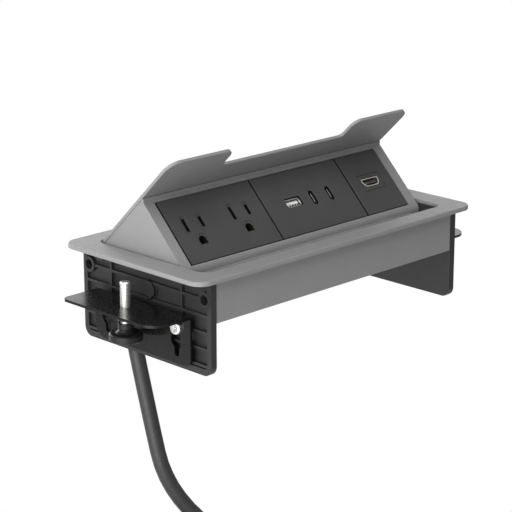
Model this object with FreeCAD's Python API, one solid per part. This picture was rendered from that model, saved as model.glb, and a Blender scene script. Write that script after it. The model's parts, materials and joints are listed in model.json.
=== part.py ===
"""In-desk power module that tilts out of a desk cut-out, modelled tilted open.

Millimetres, +Z up, +Y to the rear. The origin is the centre of the opening
on the underside of the flange, where the flange rests on the desk top.
The tilting unit is drawn shut and then turned about its hinge to the rest pose.
"""
import FreeCAD
import Part
import math
import os

# How far a cutter runs past the face that it cuts
CUT = 1.0

# Face plates, from left to right
OUTLET_PLATE_WIDTH = 76.4
CHARGING_PLATE_WIDTH = 76.4
VIDEO_PLATE_WIDTH = 38.6
BEZEL_SIDE_WIDTH = 7.4
UNIT_SIDE_GAP = 0.3

# Flange and its opening
FLANGE_SIDE_OVERHANG = 12.8
FLANGE_FRONT_OVERHANG = 4.6
FLANGE_THICKNESS = 2.8
FLANGE_CORNER = 9.5
FLANGE_EDGE_ROUND = 0.8
OPENING_SIDE_GAP = 1.5
OPENING_DEPTH = 93.4
OPENING_CORNER = 6.5
OPENING_EDGE_ROUND = 0.4
SEAT_RECESS = 0.5
SEAT_CLEARANCE = 0.1

# End plates
END_WEB_THICKNESS = 2.2
END_WEB_RECESS = 2.1
END_PAST_OPENING = 8.45
END_HEIGHT = 57.0
END_CORNER = 6.0
END_SIDE_RIM = 3.4
END_BOTTOM_RIM = 4.0
RIB_WIDTH = 1.6
RIB_LEVELS = (-11.4, -21.3, -31.3, -41.3, -51.3)
RIB_HALF_SPACING = 30.5
PIVOT_BOSS_RADIUS = 5.0
PAD_Y = -2.7
PAD_Z = -16.0
PAD_RADIUS = 4.5
PAD_SINK = 0.3
PAD_GROOVE_INNER = 5.3
PAD_GROOVE_OUTER = 6.1
PAD_GROOVE_DEPTH = 0.7
PAD_GROOVE_REACH = 1.5

# Front and rear panels of the housing
PANEL_HEIGHT = 25.5
PANEL_THICKNESS = 1.5
PANEL_SETBACK = 0.45
CHANNEL_RADIUS = 3.3
CHANNEL_Z = -11.5
SCREW_CLEARANCE = 0.1

# Screws that hold the end plates to the panels
END_SCREW_RADIUS = 1.5
END_SCREW_LENGTH = 16.0
END_HEAD_RADIUS = 2.9
END_HEAD_THICKNESS = 1.8
END_HEAD_SINK = 1.0
END_BOSS_RADIUS = 4.8
END_BOSS_RISE = 0.4
SOCKET_ACROSS_FLATS = 3.0
SOCKET_DEPTH = 1.5

# Desk clamp: bracket, nut and thumb screw
BRACKET_STANDOFF = 1.7
BRACKET_THICKNESS = 1.6
BRACKET_TOP = -22.9
BRACKET_PAST_SCREW = 16.3
BRACKET_PAST_KEYHOLE = 11.4
BRACKET_REAR_CUT_BACK = 3.6
BRACKET_FRONT_CORNER = 12.0
BRACKET_REAR_CORNER = 4.0
BRACKET_LEG_BOTTOM = -53.4
BRACKET_LEG_CORNER = 5.0
BRACKET_LEG_REAR_CORNER = 9.0
BRACKET_BEND = 0.8
KEYHOLE_HALF_SPACING = 30.0
KEYHOLE_SCREW_Z = -31.5
KEYHOLE_WIDE_Z = -39.2
KEYHOLE_BOTTOM_Z = -49.2
KEYHOLE_NARROW = 4.0
KEYHOLE_WIDE = 10.0
BRACKET_SCREW_RADIUS = 1.85
BRACKET_HEAD_RADIUS = 4.25
BRACKET_HEAD_THICKNESS = 2.2
BRACKET_HEAD_DOME = 1.3
BRACKET_BOSS_RADIUS = 5.0
CROSS_RECESS_WIDTH = 1.0
CROSS_RECESS_LENGTH = 4.4
CROSS_RECESS_DEPTH = 1.2
CLAMP_SCREW_RADIUS = 3.0
CLAMP_TIP_Z = -8.0
CLAMP_TIP_CHAMFER = 0.6
NUT_ACROSS_FLATS = 10.0
NUT_HEIGHT = 6.5
NUT_CLEARANCE = 0.06
PLATE_HOLE_CLEARANCE = 0.3
COLLAR_TOP = -32.8
COLLAR_RADIUS = 4.7
COLLAR_HEIGHT = 3.4
COLLAR_GAP = 0.3
COLLAR_EDGE_ROUND = 0.55
COLLAR_CLEARANCE = 0.06
KNOB_BOTTOM = -43.7
KNOB_DISC_HEIGHT = 4.9
KNOB_RADIUS = 10.0
KNOB_SIDE_GAP = 2.2
KNOB_NECK_TOP_RADIUS = 4.3
KNOB_NECK_RADIUS = 6.5
KNOB_NECK_SAG = 0.35
KNOB_EDGE_ROUND = 0.8

# Hinge of the tilting unit
TILT_DEG = 44.4
HINGE_FROM_OPENING = 5.83
HINGE_Z = -2.7
HINGE_PIN_RADIUS = 2.0
HINGE_PIN_CLEARANCE = 0.04
HINGE_BOSS_RADIUS = 4.6
HINGE_PIN_END_GAP = 0.4

# Lid, in the shut position
LID_THICKNESS = 2.0
LID_SIDE_GAP = 0.9
LID_FRONT_GAP = 0.9
LID_REAR_GAP = 1.92
LID_FRONT_CORNER = 8.5
LID_REAR_CORNER = 10.0
LID_NOTCH_HALF_WIDTH = 52.3
LID_NOTCH_DEPTH = 15.9
LID_NOTCH_OUTER_CORNER = 6.0
LID_NOTCH_INNER_CORNER = 3.0

# Tilting unit, in the shut position
FACE_FROM_HINGE = 50.67
FACE_TOP = -2.84
FACE_HEIGHT = 43.86
BEZEL_LIP = 1.8
BEZEL_CHAMFER_DROP = 1.7
BEZEL_STEP = 0.35
SHADOW_LINE_HEIGHT = 0.3
SHADOW_LINE_DEPTH = 0.5
UNIT_BOTTOM = -53.6
BEAD_RADIUS = 6.0
UNIT_FLOOR_DEPTH = 29.8
UNIT_SLANT_TOP_PAST_HINGE = 1.13
UNIT_SLANT_TOP_Z = -14.0
UNIT_REAR_PAST_HINGE = 2.63
UNIT_REAR_KNEE_Z = -6.0
CHEEK_WALL = 2.0
SHELL_WALL = 1.6
LEDGE_WIDTH = 3.2
LEDGE_THICKNESS = 1.6
LEDGE_CLEARANCE = 0.05
UNIT_SCREW_OFFSETS = ((-32.87, -44.0), (-9.87, -19.0))
UNIT_SCREW_RADIUS = 1.25
UNIT_SCREW_LENGTH = 12.0
UNIT_HEAD_RADIUS = 2.75
UNIT_HEAD_THICKNESS = 1.2
UNIT_BOSS_RADIUS = 3.4

# Face plates
PLATE_THICKNESS = 2.0
PLATE_GAP = 1.1
PORT_CLEARANCE = 0.25

# Mains outlets: three-hole pattern, places measured down from the face's top
OUTLET_PITCH = 38.1
BLADE_HALF_SPACING = 6.35
BLADE_DROP = 18.7
BLADE_SLOT_WIDTH = 2.3
NEUTRAL_SLOT_LENGTH = 8.9
LINE_SLOT_LENGTH = 7.0
EARTH_DROP = 30.25
EARTH_RADIUS = 2.8
EARTH_FLAT = 2.7
SLOT_CORNER = 0.2
RECESS_MARGIN = 1.5
RECESS_DEPTH = 0.5
OUTLET_BLOCK_DEPTH = 20.0
OUTLET_BLOCK_TOP = 6.5
OUTLET_BLOCK_HEIGHT = 30.0
OUTLET_BLOCK_CLEARANCE = 0.4
CONTACT_WALL = 0.8
CONTACT_SLOT = 1.5
CONTACT_DEPTH = 12.0
CONTACT_START = 3.0
CONTACT_CLEARANCE = 0.05

# Charging ports
PORT_A_SHIFT = -13.6
PORT_A_DROP = 22.0
PORT_A_WIDTH = 12.6
PORT_A_HEIGHT = 5.6
PORT_A_DEPTH = 12.0
PORT_A_WALL = 0.4
PORT_A_CLEARANCE = 0.4
PORT_A_CORNER = 0.6
TONGUE_A_THICKNESS = 1.9
TONGUE_A_SIDE_GAP = 0.9
TONGUE_A_TOP_GAP = 1.1
TONGUE_A_SET_BACK = 1.0
PORT_C_SHIFTS = (3.4, 18.2)
PORT_C_DROP = 22.4
PORT_C_LENGTH = 9.6
PORT_C_WIDTH = 3.4
PORT_C_DEPTH = 9.0
PORT_C_WALL = 0.35
TONGUE_C_THICKNESS = 0.7
TONGUE_C_END_GAP = 1.4
TONGUE_C_SET_BACK = 0.3
PORT_SET_BACK = 1.2
BOARD_THICKNESS = 1.6
BOARD_MARGIN = 9.0
BOARD_POST_INSET = 3.0
BOARD_POST_RADIUS = 2.0

# Video port
VIDEO_INSERT_WIDTH = 19.9
VIDEO_INSERT_DROP = 16.6
VIDEO_INSERT_HEIGHT = 11.0
VIDEO_INSERT_BACK = 3.75
VIDEO_INSERT_SHOULDER = 0.9
VIDEO_DROP = 22.0
VIDEO_HALF_WIDTH = 7.6
VIDEO_HALF_HEIGHT = 2.9
VIDEO_SHOULDER = 2.7
VIDEO_TOP_CORNER = 0.5
VIDEO_LOW_CORNER = 0.3
VIDEO_BASE_HALF_WIDTH = 5.3
VIDEO_DEPTH = 11.0
VIDEO_WALL = 0.6
VIDEO_SET_BACK = 0.25
VIDEO_TONGUE_HALF_WIDTH = 5.4
VIDEO_TONGUE_THICKNESS = 1.5
VIDEO_TONGUE_SHIFT = 0.4
VIDEO_TONGUE_SET_BACK = 1.0

# Cord clamp and strain relief on the left end plate
CORD_DIAMETER = 9.6
CORD_FROM_WEB = 15.9
CORD_CLAMP_FROM_RIM = 14.85
CORD_CLAMP_Z = -38.0
CORD_LEAN_DEG = 16.0
CLAMP_HALF_HEIGHT = 6.0
CLAMP_FRONT = 6.8
CLAMP_BACK = 12.0
CLAMP_INNER_REACH = 7.0
GRIP_CLEARANCE = 0.05
GRIP_NECK_WALL = 1.0
GRIP_HEAD_RADIUS = 7.4
GRIP_HEAD_HEIGHT = 2.5
GRIP_TOP_RADIUS = 7.2
GRIP_END_RADIUS = 5.9
GRIP_LENGTH = 19.23
GRIP_RING_COUNT = 5
GRIP_RING_DEPTH = 0.5
GRIP_RING_WIDTH = 1.2
CLAMP_SCREW_OFFSET = 9.2
CORD_SCREW_RADIUS = 1.5
CORD_SCREW_HEAD_RADIUS = 2.6
CORD_SCREW_HEAD_THICKNESS = 1.8
CORD_SCREW_BITE = 0.8

# Supply cord: route from the strain relief to the coil, and from it to the plug
CORD_ROUTE = (
    (-87.5, 33.33, -62.29),
    (-87.5, 20.93, -105.55),
    (-86.0, 8.0, -152.0),
    (-46.0, -8.0, -198.0),
    (-40.3, -9.6, -246.0),
)
CORD_TAIL = (
    (-40.3, 9.6, -246.0),
    (-39.6, 11.4, -276.0),
    (-36.9, 12.2, -304.0),
)
RUN_SHARE = 0.45
COIL_CENTRE_X = -90.0
COIL_CENTRE_Z = -246.0
COIL_MEAN_RADIUS = 49.7
COIL_HALF_RADIAL = 9.0
COIL_HALF_WIDTH = 14.4
COIL_SHOULDER = 4.2
COIL_SHOULDER_START = 1.0
COIL_EDGE_ROUND = 3.0
TIE_WIDTH = 12.0
TIE_THICKNESS = 1.2
TIE_SLACK = 0.6
TIE_CORNER = 3.0
PLUG_LENGTH = 38.0
PLUG_NECK_RADIUS = 7.0
PLUG_NECK_BASE_RADIUS = 10.4
PLUG_SHOULDER_ROUND = 1.8
PLUG_HALF_WIDTH = 13.0
PLUG_HALF_THICKNESS = 11.0
PLUG_CORNER = 5.0
PLUG_NECK_LENGTH = 14.0
PLUG_BLADE_WIDTH = 6.3
PLUG_BLADE_THICKNESS = 1.5
PLUG_BLADE_LENGTH = 16.0
PLUG_PIN_RADIUS = 2.4
PLUG_PIN_LENGTH = 18.5
PLUG_PIN_OFFSET = 11.9
PLUG_PIN_SHIFT = 4.0
PLUG_PIN_ROUND = 1.4

# Lead between the strain relief and the tilting unit
LEAD_RADIUS = 3.6
LEAD_ENTRY_SHIFT = 13.0
LEAD_ENTRY_FROM_HINGE = 4.47
LEAD_ENTRY_Z = -24.0
LEAD_HOLE_CLEARANCE = 1.0

# Sizes that follow from the ones above
FACE_HALF_WIDTH = (OUTLET_PLATE_WIDTH + CHARGING_PLATE_WIDTH + VIDEO_PLATE_WIDTH) / 2
PLATE_SPLIT_1 = -FACE_HALF_WIDTH + OUTLET_PLATE_WIDTH
PLATE_SPLIT_2 = PLATE_SPLIT_1 + CHARGING_PLATE_WIDTH
UNIT_HALF_WIDTH = FACE_HALF_WIDTH + BEZEL_SIDE_WIDTH
WEB_INSIDE = UNIT_HALF_WIDTH + UNIT_SIDE_GAP
WEB_OUTSIDE = WEB_INSIDE + END_WEB_THICKNESS
END_RIM_OUTSIDE = WEB_OUTSIDE + END_WEB_RECESS
OPENING_HALF_WIDTH = UNIT_HALF_WIDTH + OPENING_SIDE_GAP
OPENING_HALF_DEPTH = OPENING_DEPTH / 2
END_HALF_DEPTH = OPENING_HALF_DEPTH + END_PAST_OPENING
FLANGE_HALF_WIDTH = END_RIM_OUTSIDE + FLANGE_SIDE_OVERHANG
FLANGE_HALF_DEPTH = END_HALF_DEPTH + FLANGE_FRONT_OVERHANG
HINGE_Y = OPENING_HALF_DEPTH - HINGE_FROM_OPENING
CHEEK_INSIDE = UNIT_HALF_WIDTH - CHEEK_WALL
LID_TOP = FLANGE_THICKNESS
LID_UNDERSIDE = LID_TOP - LID_THICKNESS
LID_HALF_WIDTH = OPENING_HALF_WIDTH - LID_SIDE_GAP
LID_FRONT = -OPENING_HALF_DEPTH + LID_FRONT_GAP
LID_REAR_EDGE = OPENING_HALF_DEPTH - LID_REAR_GAP
FACE_FRONT = HINGE_Y - FACE_FROM_HINGE
FACE_BOTTOM = FACE_TOP - FACE_HEIGHT
UNIT_FLOOR_REAR = FACE_FRONT + UNIT_FLOOR_DEPTH
UNIT_SLANT_TOP_Y = HINGE_Y + UNIT_SLANT_TOP_PAST_HINGE
UNIT_REAR = HINGE_Y + UNIT_REAR_PAST_HINGE
UNIT_SCREW_PLACES = [(HINGE_Y + y, z) for y, z in UNIT_SCREW_OFFSETS]
PLATE_BACK = FACE_FRONT + PLATE_THICKNESS
LEDGE_FRONT = PLATE_BACK + LEDGE_CLEARANCE
OUTLET_MIDDLE = (-FACE_HALF_WIDTH + PLATE_SPLIT_1) / 2
OUTLET_XS = (OUTLET_MIDDLE - OUTLET_PITCH / 2, OUTLET_MIDDLE + OUTLET_PITCH / 2)
CHARGING_MIDDLE = (PLATE_SPLIT_1 + PLATE_SPLIT_2) / 2
PORT_A_X = CHARGING_MIDDLE + PORT_A_SHIFT
PORT_C_XS = [CHARGING_MIDDLE + shift for shift in PORT_C_SHIFTS]
VIDEO_X = (PLATE_SPLIT_2 + FACE_HALF_WIDTH) / 2
VIDEO_INSERT_LEFT = VIDEO_X - VIDEO_INSERT_WIDTH / 2
VIDEO_INSERT_RIGHT = VIDEO_X + VIDEO_INSERT_WIDTH / 2
PORT_START = FACE_FRONT + PORT_SET_BACK
VIDEO_START = FACE_FRONT + VIDEO_SET_BACK
PANEL_OUTSIDE = END_HALF_DEPTH - PANEL_SETBACK
CHANNEL_Y = PANEL_OUTSIDE - PANEL_THICKNESS - CHANNEL_RADIUS
END_SCREW_SEAT = END_RIM_OUTSIDE - END_HEAD_SINK - END_HEAD_THICKNESS
LEG_INSIDE = END_RIM_OUTSIDE + BRACKET_STANDOFF
LEG_OUTSIDE = LEG_INSIDE + BRACKET_THICKNESS
CLAMP_X = LEG_OUTSIDE + KNOB_SIDE_GAP + KNOB_RADIUS
BRACKET_REACH = CLAMP_X + BRACKET_PAST_SCREW
BRACKET_HALF_LENGTH = KEYHOLE_HALF_SPACING + BRACKET_PAST_KEYHOLE
BRACKET_UNDERSIDE = BRACKET_TOP - BRACKET_THICKNESS
CORD_RADIUS = CORD_DIAMETER / 2
CORD_X = -WEB_INSIDE + CORD_FROM_WEB
CORD_CLAMP_Y = END_HALF_DEPTH - CORD_CLAMP_FROM_RIM
GRIP_RADIUS = CORD_RADIUS + GRIP_NECK_WALL
LEAD_ENTRY_X = CORD_X + LEAD_ENTRY_SHIFT
LEAD_ENTRY_Y = HINGE_Y - LEAD_ENTRY_FROM_HINGE

V = FreeCAD.Vector
X_AXIS = V(1, 0, 0)
Y_AXIS = V(0, 1, 0)
Z_AXIS = V(0, 0, 1)


def box(x0, x1, y0, y1, z0, z1):
    """Block between two corners."""
    return Part.makeBox(x1 - x0, y1 - y0, z1 - z0, V(x0, y0, z0))


def rod(radius, start, end):
    """Round bar from one point to another."""
    along = end.sub(start)
    return Part.makeCylinder(radius, along.Length, start, along)


def rod_x(radius, x0, x1, y, z):
    """Round bar along X."""
    return rod(radius, V(x0, y, z), V(x1, y, z))


def rod_z(radius, x, y, z0, z1):
    """Round bar along Z."""
    return rod(radius, V(x, y, z0), V(x, y, z1))


def on_z(z):
    """Place outline points in a level plane."""
    return lambda u, v: V(u, v, z)


def on_x(x):
    """Place outline points in a plane across X, as (y, z)."""
    return lambda u, v: V(x, u, v)


def on_y(y):
    """Place outline points in a plane across Y, as (x, z)."""
    return lambda u, v: V(u, y, v)


def corner_cut(before, corner, after, radius):
    """Start, middle and end of the round at one corner of an outline."""
    back = before.sub(corner).normalize()
    onward = after.sub(corner).normalize()
    half = back.getAngle(onward) / 2
    reach = radius / math.tan(half)
    inward = back.add(onward).normalize()
    middle = corner.add(inward * (radius / math.sin(half) - radius))
    return corner.add(back * reach), middle, corner.add(onward * reach)


def outline(corners, place):
    """Flat face from (u, v, corner radius) points."""
    points = [place(u, v) for u, v, _ in corners]
    radii = [radius for _, _, radius in corners]
    count = len(points)
    rounds = []
    for index, point in enumerate(points):
        if radii[index] > 0:
            after = points[(index + 1) % count]
            rounds.append(corner_cut(points[index - 1], point, after, radii[index]))
        else:
            rounds.append((point, None, point))
    edges = []
    for index, (start, middle, end) in enumerate(rounds):
        previous = rounds[index - 1][2]
        if start.sub(previous).Length > 1e-6:
            edges.append(Part.LineSegment(previous, start).toShape())
        if middle is not None:
            edges.append(Part.Arc(start, middle, end).toShape())
    return Part.Face(Part.Wire(edges))


def rectangle(u0, u1, v0, v1, radius, place):
    """Flat rounded rectangle."""
    corners = [(u0, v0, radius), (u1, v0, radius), (u1, v1, radius), (u0, v1, radius)]
    return outline(corners, place)


def mirrored(shape):
    """Same piece on the other side, mirrored across X = 0."""
    return shape.mirror(V(0, 0, 0), X_AXIS)


def joined(first, *others):
    """One solid from pieces that meet."""
    return first.fuse(list(others)).removeSplitter()


def tilted(shape):
    """Turn a piece of the tilting unit from shut to open, the rest pose."""
    turned = shape.copy()
    turned.rotate(V(0, HINGE_Y, HINGE_Z), X_AXIS, -TILT_DEG)
    return turned


def shut(shape):
    """Turn a piece from the rest pose back to the shut position."""
    turned = shape.copy()
    turned.rotate(V(0, HINGE_Y, HINGE_Z), X_AXIS, TILT_DEG)
    return turned


def leaning(shape):
    """Lean a piece drawn about the upright axis at the cord clamp."""
    turned = shape.copy()
    turned.rotate(V(0, CORD_CLAMP_Y, CORD_CLAMP_Z), X_AXIS, -CORD_LEAN_DEG)
    return turned


# Housing


def top_frame():
    """Flange that rests on the desk, with the opening for the tilting unit."""
    half_w = FLANGE_HALF_WIDTH
    half_d = FLANGE_HALF_DEPTH
    plate = rectangle(-half_w, half_w, -half_d, half_d, FLANGE_CORNER, on_z(0))
    plate = plate.extrude(V(0, 0, FLANGE_THICKNESS))
    top_edges = [e for e in plate.Edges if e.BoundBox.ZMin > FLANGE_THICKNESS - 0.01]
    plate = plate.makeFillet(FLANGE_EDGE_ROUND, top_edges)
    half_w = OPENING_HALF_WIDTH
    half_d = OPENING_HALF_DEPTH
    hole = rectangle(-half_w, half_w, -half_d, half_d, OPENING_CORNER, on_z(-CUT))
    plate = plate.cut(hole.extrude(V(0, 0, FLANGE_THICKNESS + 2 * CUT)))
    grow = SEAT_CLEARANCE
    seat = box(-END_RIM_OUTSIDE - grow, END_RIM_OUTSIDE + grow, -END_HALF_DEPTH - grow,
               END_HALF_DEPTH + grow, -CUT, SEAT_RECESS)
    plate = plate.cut(seat)
    inner = []
    for edge in plate.Edges:
        bounds = edge.BoundBox
        inside = max(bounds.XMax, -bounds.XMin) < half_w + 0.01
        if inside and bounds.ZMin > FLANGE_THICKNESS - 0.01:
            inner.append(edge)
    return plate.makeFillet(OPENING_EDGE_ROUND, inner)


def panel(side):
    """Front (side -1) or rear (side 1) wall with its screw channel."""
    outer = side * PANEL_OUTSIDE
    inner = side * (PANEL_OUTSIDE - PANEL_THICKNESS)
    wall = box(-WEB_INSIDE, WEB_INSIDE, min(outer, inner), max(outer, inner),
               -PANEL_HEIGHT, SEAT_RECESS)
    y = side * CHANNEL_Y
    tube = rod_x(CHANNEL_RADIUS, -WEB_INSIDE, WEB_INSIDE, y, CHANNEL_Z)
    root = side * (PANEL_OUTSIDE - PANEL_THICKNESS)
    web = box(-WEB_INSIDE, WEB_INSIDE, min(y, root), max(y, root),
              CHANNEL_Z - CHANNEL_RADIUS / 2, CHANNEL_Z + CHANNEL_RADIUS / 2)
    bore = rod_x(END_SCREW_RADIUS + SCREW_CLEARANCE, -WEB_INSIDE - CUT, WEB_INSIDE + CUT,
                 y, CHANNEL_Z)
    return joined(wall, tube, web).cut(bore)


def end_outline(place, inset=0.0, bottom_inset=0.0):
    """Outline of an end plate, or of the pocket inside its rim."""
    half = END_HALF_DEPTH - inset
    bottom = -END_HEIGHT + bottom_inset
    corner = END_CORNER - inset
    top = SEAT_RECESS
    corners = [(-half, top, 0), (half, top, 0), (half, bottom, corner), (-half, bottom, corner)]
    return outline(corners, place)


def end_ribs():
    """Grid of ribs on the outer side of the web."""
    across = END_HALF_DEPTH - END_SIDE_RIM / 2
    down = -END_HEIGHT + END_BOTTOM_RIM / 2
    ribs = []
    for level in RIB_LEVELS:
        z0 = level - RIB_WIDTH / 2
        ribs.append(box(WEB_OUTSIDE, END_RIM_OUTSIDE, -across, across, z0, z0 + RIB_WIDTH))
    for y in (-RIB_HALF_SPACING, RIB_HALF_SPACING):
        y0 = y - RIB_WIDTH / 2
        ribs.append(box(WEB_OUTSIDE, END_RIM_OUTSIDE, y0, y0 + RIB_WIDTH, down, SEAT_RECESS))
    return ribs


def pad_groove():
    """Curved groove in the web in front of the round pad."""
    x0 = WEB_OUTSIDE - PAD_GROOVE_DEPTH
    x1 = END_RIM_OUTSIDE + CUT
    ring = rod_x(PAD_GROOVE_OUTER, x0, x1, PAD_Y, PAD_Z)
    ring = ring.cut(rod_x(PAD_GROOVE_INNER, x0, x1, PAD_Y, PAD_Z))
    reach = 2 * PAD_GROOVE_OUTER
    return ring.common(box(x0, x1, PAD_Y - reach, PAD_Y + PAD_GROOVE_REACH,
                           PAD_Z - reach, PAD_Z + reach))


def end_plate():
    """Right-hand moulded end plate with ribs, screw bosses and hinge bore."""
    blank = end_outline(on_x(WEB_INSIDE)).extrude(V(END_RIM_OUTSIDE - WEB_INSIDE, 0, 0))
    pocket = end_outline(on_x(WEB_OUTSIDE), END_SIDE_RIM, END_BOTTOM_RIM)
    plate = blank.cut(pocket.extrude(V(END_WEB_RECESS, 0, 0)))
    parts = end_ribs()
    bound = end_outline(on_x(WEB_INSIDE)).extrude(V(LEG_INSIDE - WEB_INSIDE, 0, 0))
    for side in (-1, 1):
        boss = rod_x(END_BOSS_RADIUS, WEB_INSIDE, END_RIM_OUTSIDE + END_BOSS_RISE,
                     side * CHANNEL_Y, CHANNEL_Z)
        parts.append(boss.common(bound))
        parts.append(rod_x(BRACKET_BOSS_RADIUS, WEB_INSIDE, LEG_INSIDE,
                           side * KEYHOLE_HALF_SPACING, KEYHOLE_SCREW_Z))
    pivot = rod_x(PIVOT_BOSS_RADIUS, WEB_INSIDE, END_RIM_OUTSIDE, HINGE_Y, HINGE_Z)
    parts.append(pivot.common(bound))
    parts.append(rod_x(PAD_RADIUS, WEB_INSIDE, END_RIM_OUTSIDE - PAD_SINK, PAD_Y, PAD_Z))
    plate = joined(plate, *parts)
    plate = plate.cut(pad_groove())
    far = END_RIM_OUTSIDE + END_BOSS_RISE + CUT
    near = WEB_INSIDE - CUT
    plate = plate.cut(rod_x(HINGE_PIN_RADIUS + HINGE_PIN_CLEARANCE, near, far, HINGE_Y, HINGE_Z))
    for side in (-1, 1):
        y = side * CHANNEL_Y
        plate = plate.cut(rod_x(END_SCREW_RADIUS + SCREW_CLEARANCE, near, far, y, CHANNEL_Z))
        plate = plate.cut(rod_x(END_HEAD_RADIUS + SCREW_CLEARANCE, END_SCREW_SEAT, far, y, CHANNEL_Z))
        plate = plate.cut(rod_x(BRACKET_SCREW_RADIUS + SCREW_CLEARANCE, near, LEG_INSIDE + CUT,
                                side * KEYHOLE_HALF_SPACING, KEYHOLE_SCREW_Z))
    return plate


def hexagon(across_flats, u, v, place):
    """Flat six-sided face."""
    radius = across_flats / math.sqrt(3)
    corners = []
    for step in range(6):
        angle = math.radians(60 * step)
        corners.append((u + radius * math.cos(angle), v + radius * math.sin(angle), 0))
    return outline(corners, place)


def hex_socket(face_x, y, z):
    """Six-sided driver socket in a screw head that faces +X."""
    mouth = hexagon(SOCKET_ACROSS_FLATS, y, z, on_x(face_x - SOCKET_DEPTH))
    return mouth.extrude(V(SOCKET_DEPTH + CUT, 0, 0))


def end_plate_screws():
    """Four screws that pass through the end plates into the panel channels."""
    seat = END_SCREW_SEAT
    screws = []
    for side in (-1, 1):
        y = side * CHANNEL_Y
        head = rod_x(END_HEAD_RADIUS, seat, seat + END_HEAD_THICKNESS, y, CHANNEL_Z)
        shank = rod_x(END_SCREW_RADIUS, seat - END_SCREW_LENGTH, seat, y, CHANNEL_Z)
        screws.append(joined(head, shank).cut(hex_socket(seat + END_HEAD_THICKNESS, y, CHANNEL_Z)))
    return Part.makeCompound(screws + [mirrored(screw) for screw in screws])


# Desk clamps


def cross_recess(face_x, y, z):
    """Cross-shaped driver recess in a screw head that faces +X."""
    half = CROSS_RECESS_LENGTH / 2
    width = CROSS_RECESS_WIDTH / 2
    x0 = face_x - CROSS_RECESS_DEPTH
    upright = box(x0, face_x + CUT, y - width, y + width, z - half, z + half)
    level = box(x0, face_x + CUT, y - half, y + half, z - width, z + width)
    return upright.fuse(level)


def keyhole(y):
    """Cutter for one double-ended keyhole in the bracket's leg."""
    x0 = LEG_INSIDE - CUT
    x1 = LEG_OUTSIDE + CUT
    narrow = KEYHOLE_NARROW / 2
    top = KEYHOLE_SCREW_Z + narrow
    slot = rectangle(y - narrow, y + narrow, KEYHOLE_BOTTOM_Z, top, narrow, on_x(x0))
    return slot.extrude(V(x1 - x0, 0, 0)).fuse(rod_x(KEYHOLE_WIDE / 2, x0, x1, y, KEYHOLE_WIDE_Z))


def clamp_bracket():
    """Right-hand folded steel angle that carries the clamp screw."""
    half = BRACKET_HALF_LENGTH
    rear = half - BRACKET_REAR_CUT_BACK
    top = outline([(LEG_INSIDE, -half, 0), (BRACKET_REACH, -half, BRACKET_FRONT_CORNER),
                   (BRACKET_REACH, rear, BRACKET_REAR_CORNER), (LEG_INSIDE, rear, 0)],
                  on_z(BRACKET_UNDERSIDE)).extrude(V(0, 0, BRACKET_THICKNESS))
    leg = outline([(-half, BRACKET_TOP, 0), (half, BRACKET_TOP, 0),
                   (half, BRACKET_LEG_BOTTOM, BRACKET_LEG_REAR_CORNER),
                   (-half, BRACKET_LEG_BOTTOM, BRACKET_LEG_CORNER)],
                  on_x(LEG_INSIDE)).extrude(V(BRACKET_THICKNESS, 0, 0))
    angle = joined(top, leg)
    outer = BRACKET_BEND + BRACKET_THICKNESS
    for x, z, radius in ((LEG_INSIDE, BRACKET_TOP, outer), (LEG_OUTSIDE, BRACKET_UNDERSIDE, BRACKET_BEND)):
        edges = []
        for edge in angle.Edges:
            bounds = edge.BoundBox
            on_bend = abs(bounds.XMin - x) < 0.01 and abs(bounds.ZMin - z) < 0.01
            if on_bend and bounds.YLength > half and bounds.XLength < 0.01:
                edges.append(edge)
        angle = angle.makeFillet(radius, edges)
    angle = angle.cut(rod_z(CLAMP_SCREW_RADIUS + PLATE_HOLE_CLEARANCE, CLAMP_X, 0,
                            BRACKET_UNDERSIDE - CUT, BRACKET_TOP + CUT))
    for y in (-KEYHOLE_HALF_SPACING, KEYHOLE_HALF_SPACING):
        angle = angle.cut(keyhole(y))
    return angle


def bracket_screws():
    """Four screws that hold the brackets to the end plates."""
    screws = []
    for y in (-KEYHOLE_HALF_SPACING, KEYHOLE_HALF_SPACING):
        z = KEYHOLE_SCREW_Z
        head_end = LEG_OUTSIDE + BRACKET_HEAD_THICKNESS
        head = rod_x(BRACKET_HEAD_RADIUS, LEG_OUTSIDE, head_end, y, z)
        rim = [e for e in head.Edges if e.BoundBox.XMin > head_end - 0.01]
        head = head.makeFillet(BRACKET_HEAD_DOME, rim)
        shank = rod_x(BRACKET_SCREW_RADIUS, WEB_INSIDE, LEG_OUTSIDE, y, z)
        screws.append(joined(head, shank).cut(cross_recess(head_end, y, z)))
    return Part.makeCompound(screws + [mirrored(screw) for screw in screws])


def weld_nut():
    """Hexagon nut welded under the right-hand bracket."""
    bottom = BRACKET_UNDERSIDE - NUT_HEIGHT
    body = hexagon(NUT_ACROSS_FLATS, CLAMP_X, 0, on_z(bottom)).extrude(V(0, 0, NUT_HEIGHT))
    bore = rod_z(CLAMP_SCREW_RADIUS + NUT_CLEARANCE, CLAMP_X, 0, bottom - CUT,
                 BRACKET_UNDERSIDE + CUT)
    return body.cut(bore)


def clamp_collar():
    """Loose ring on the right-hand clamp screw, above the knob."""
    bottom = COLLAR_TOP - COLLAR_HEIGHT
    ring = rod_z(COLLAR_RADIUS, CLAMP_X, 0, bottom, COLLAR_TOP)
    top_rim = [e for e in ring.Edges if e.BoundBox.ZMin > COLLAR_TOP - 0.01]
    ring = ring.makeFillet(COLLAR_EDGE_ROUND, top_rim)
    bore = rod_z(CLAMP_SCREW_RADIUS + COLLAR_CLEARANCE, CLAMP_X, 0, bottom - CUT, COLLAR_TOP + CUT)
    return ring.cut(bore)


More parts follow.
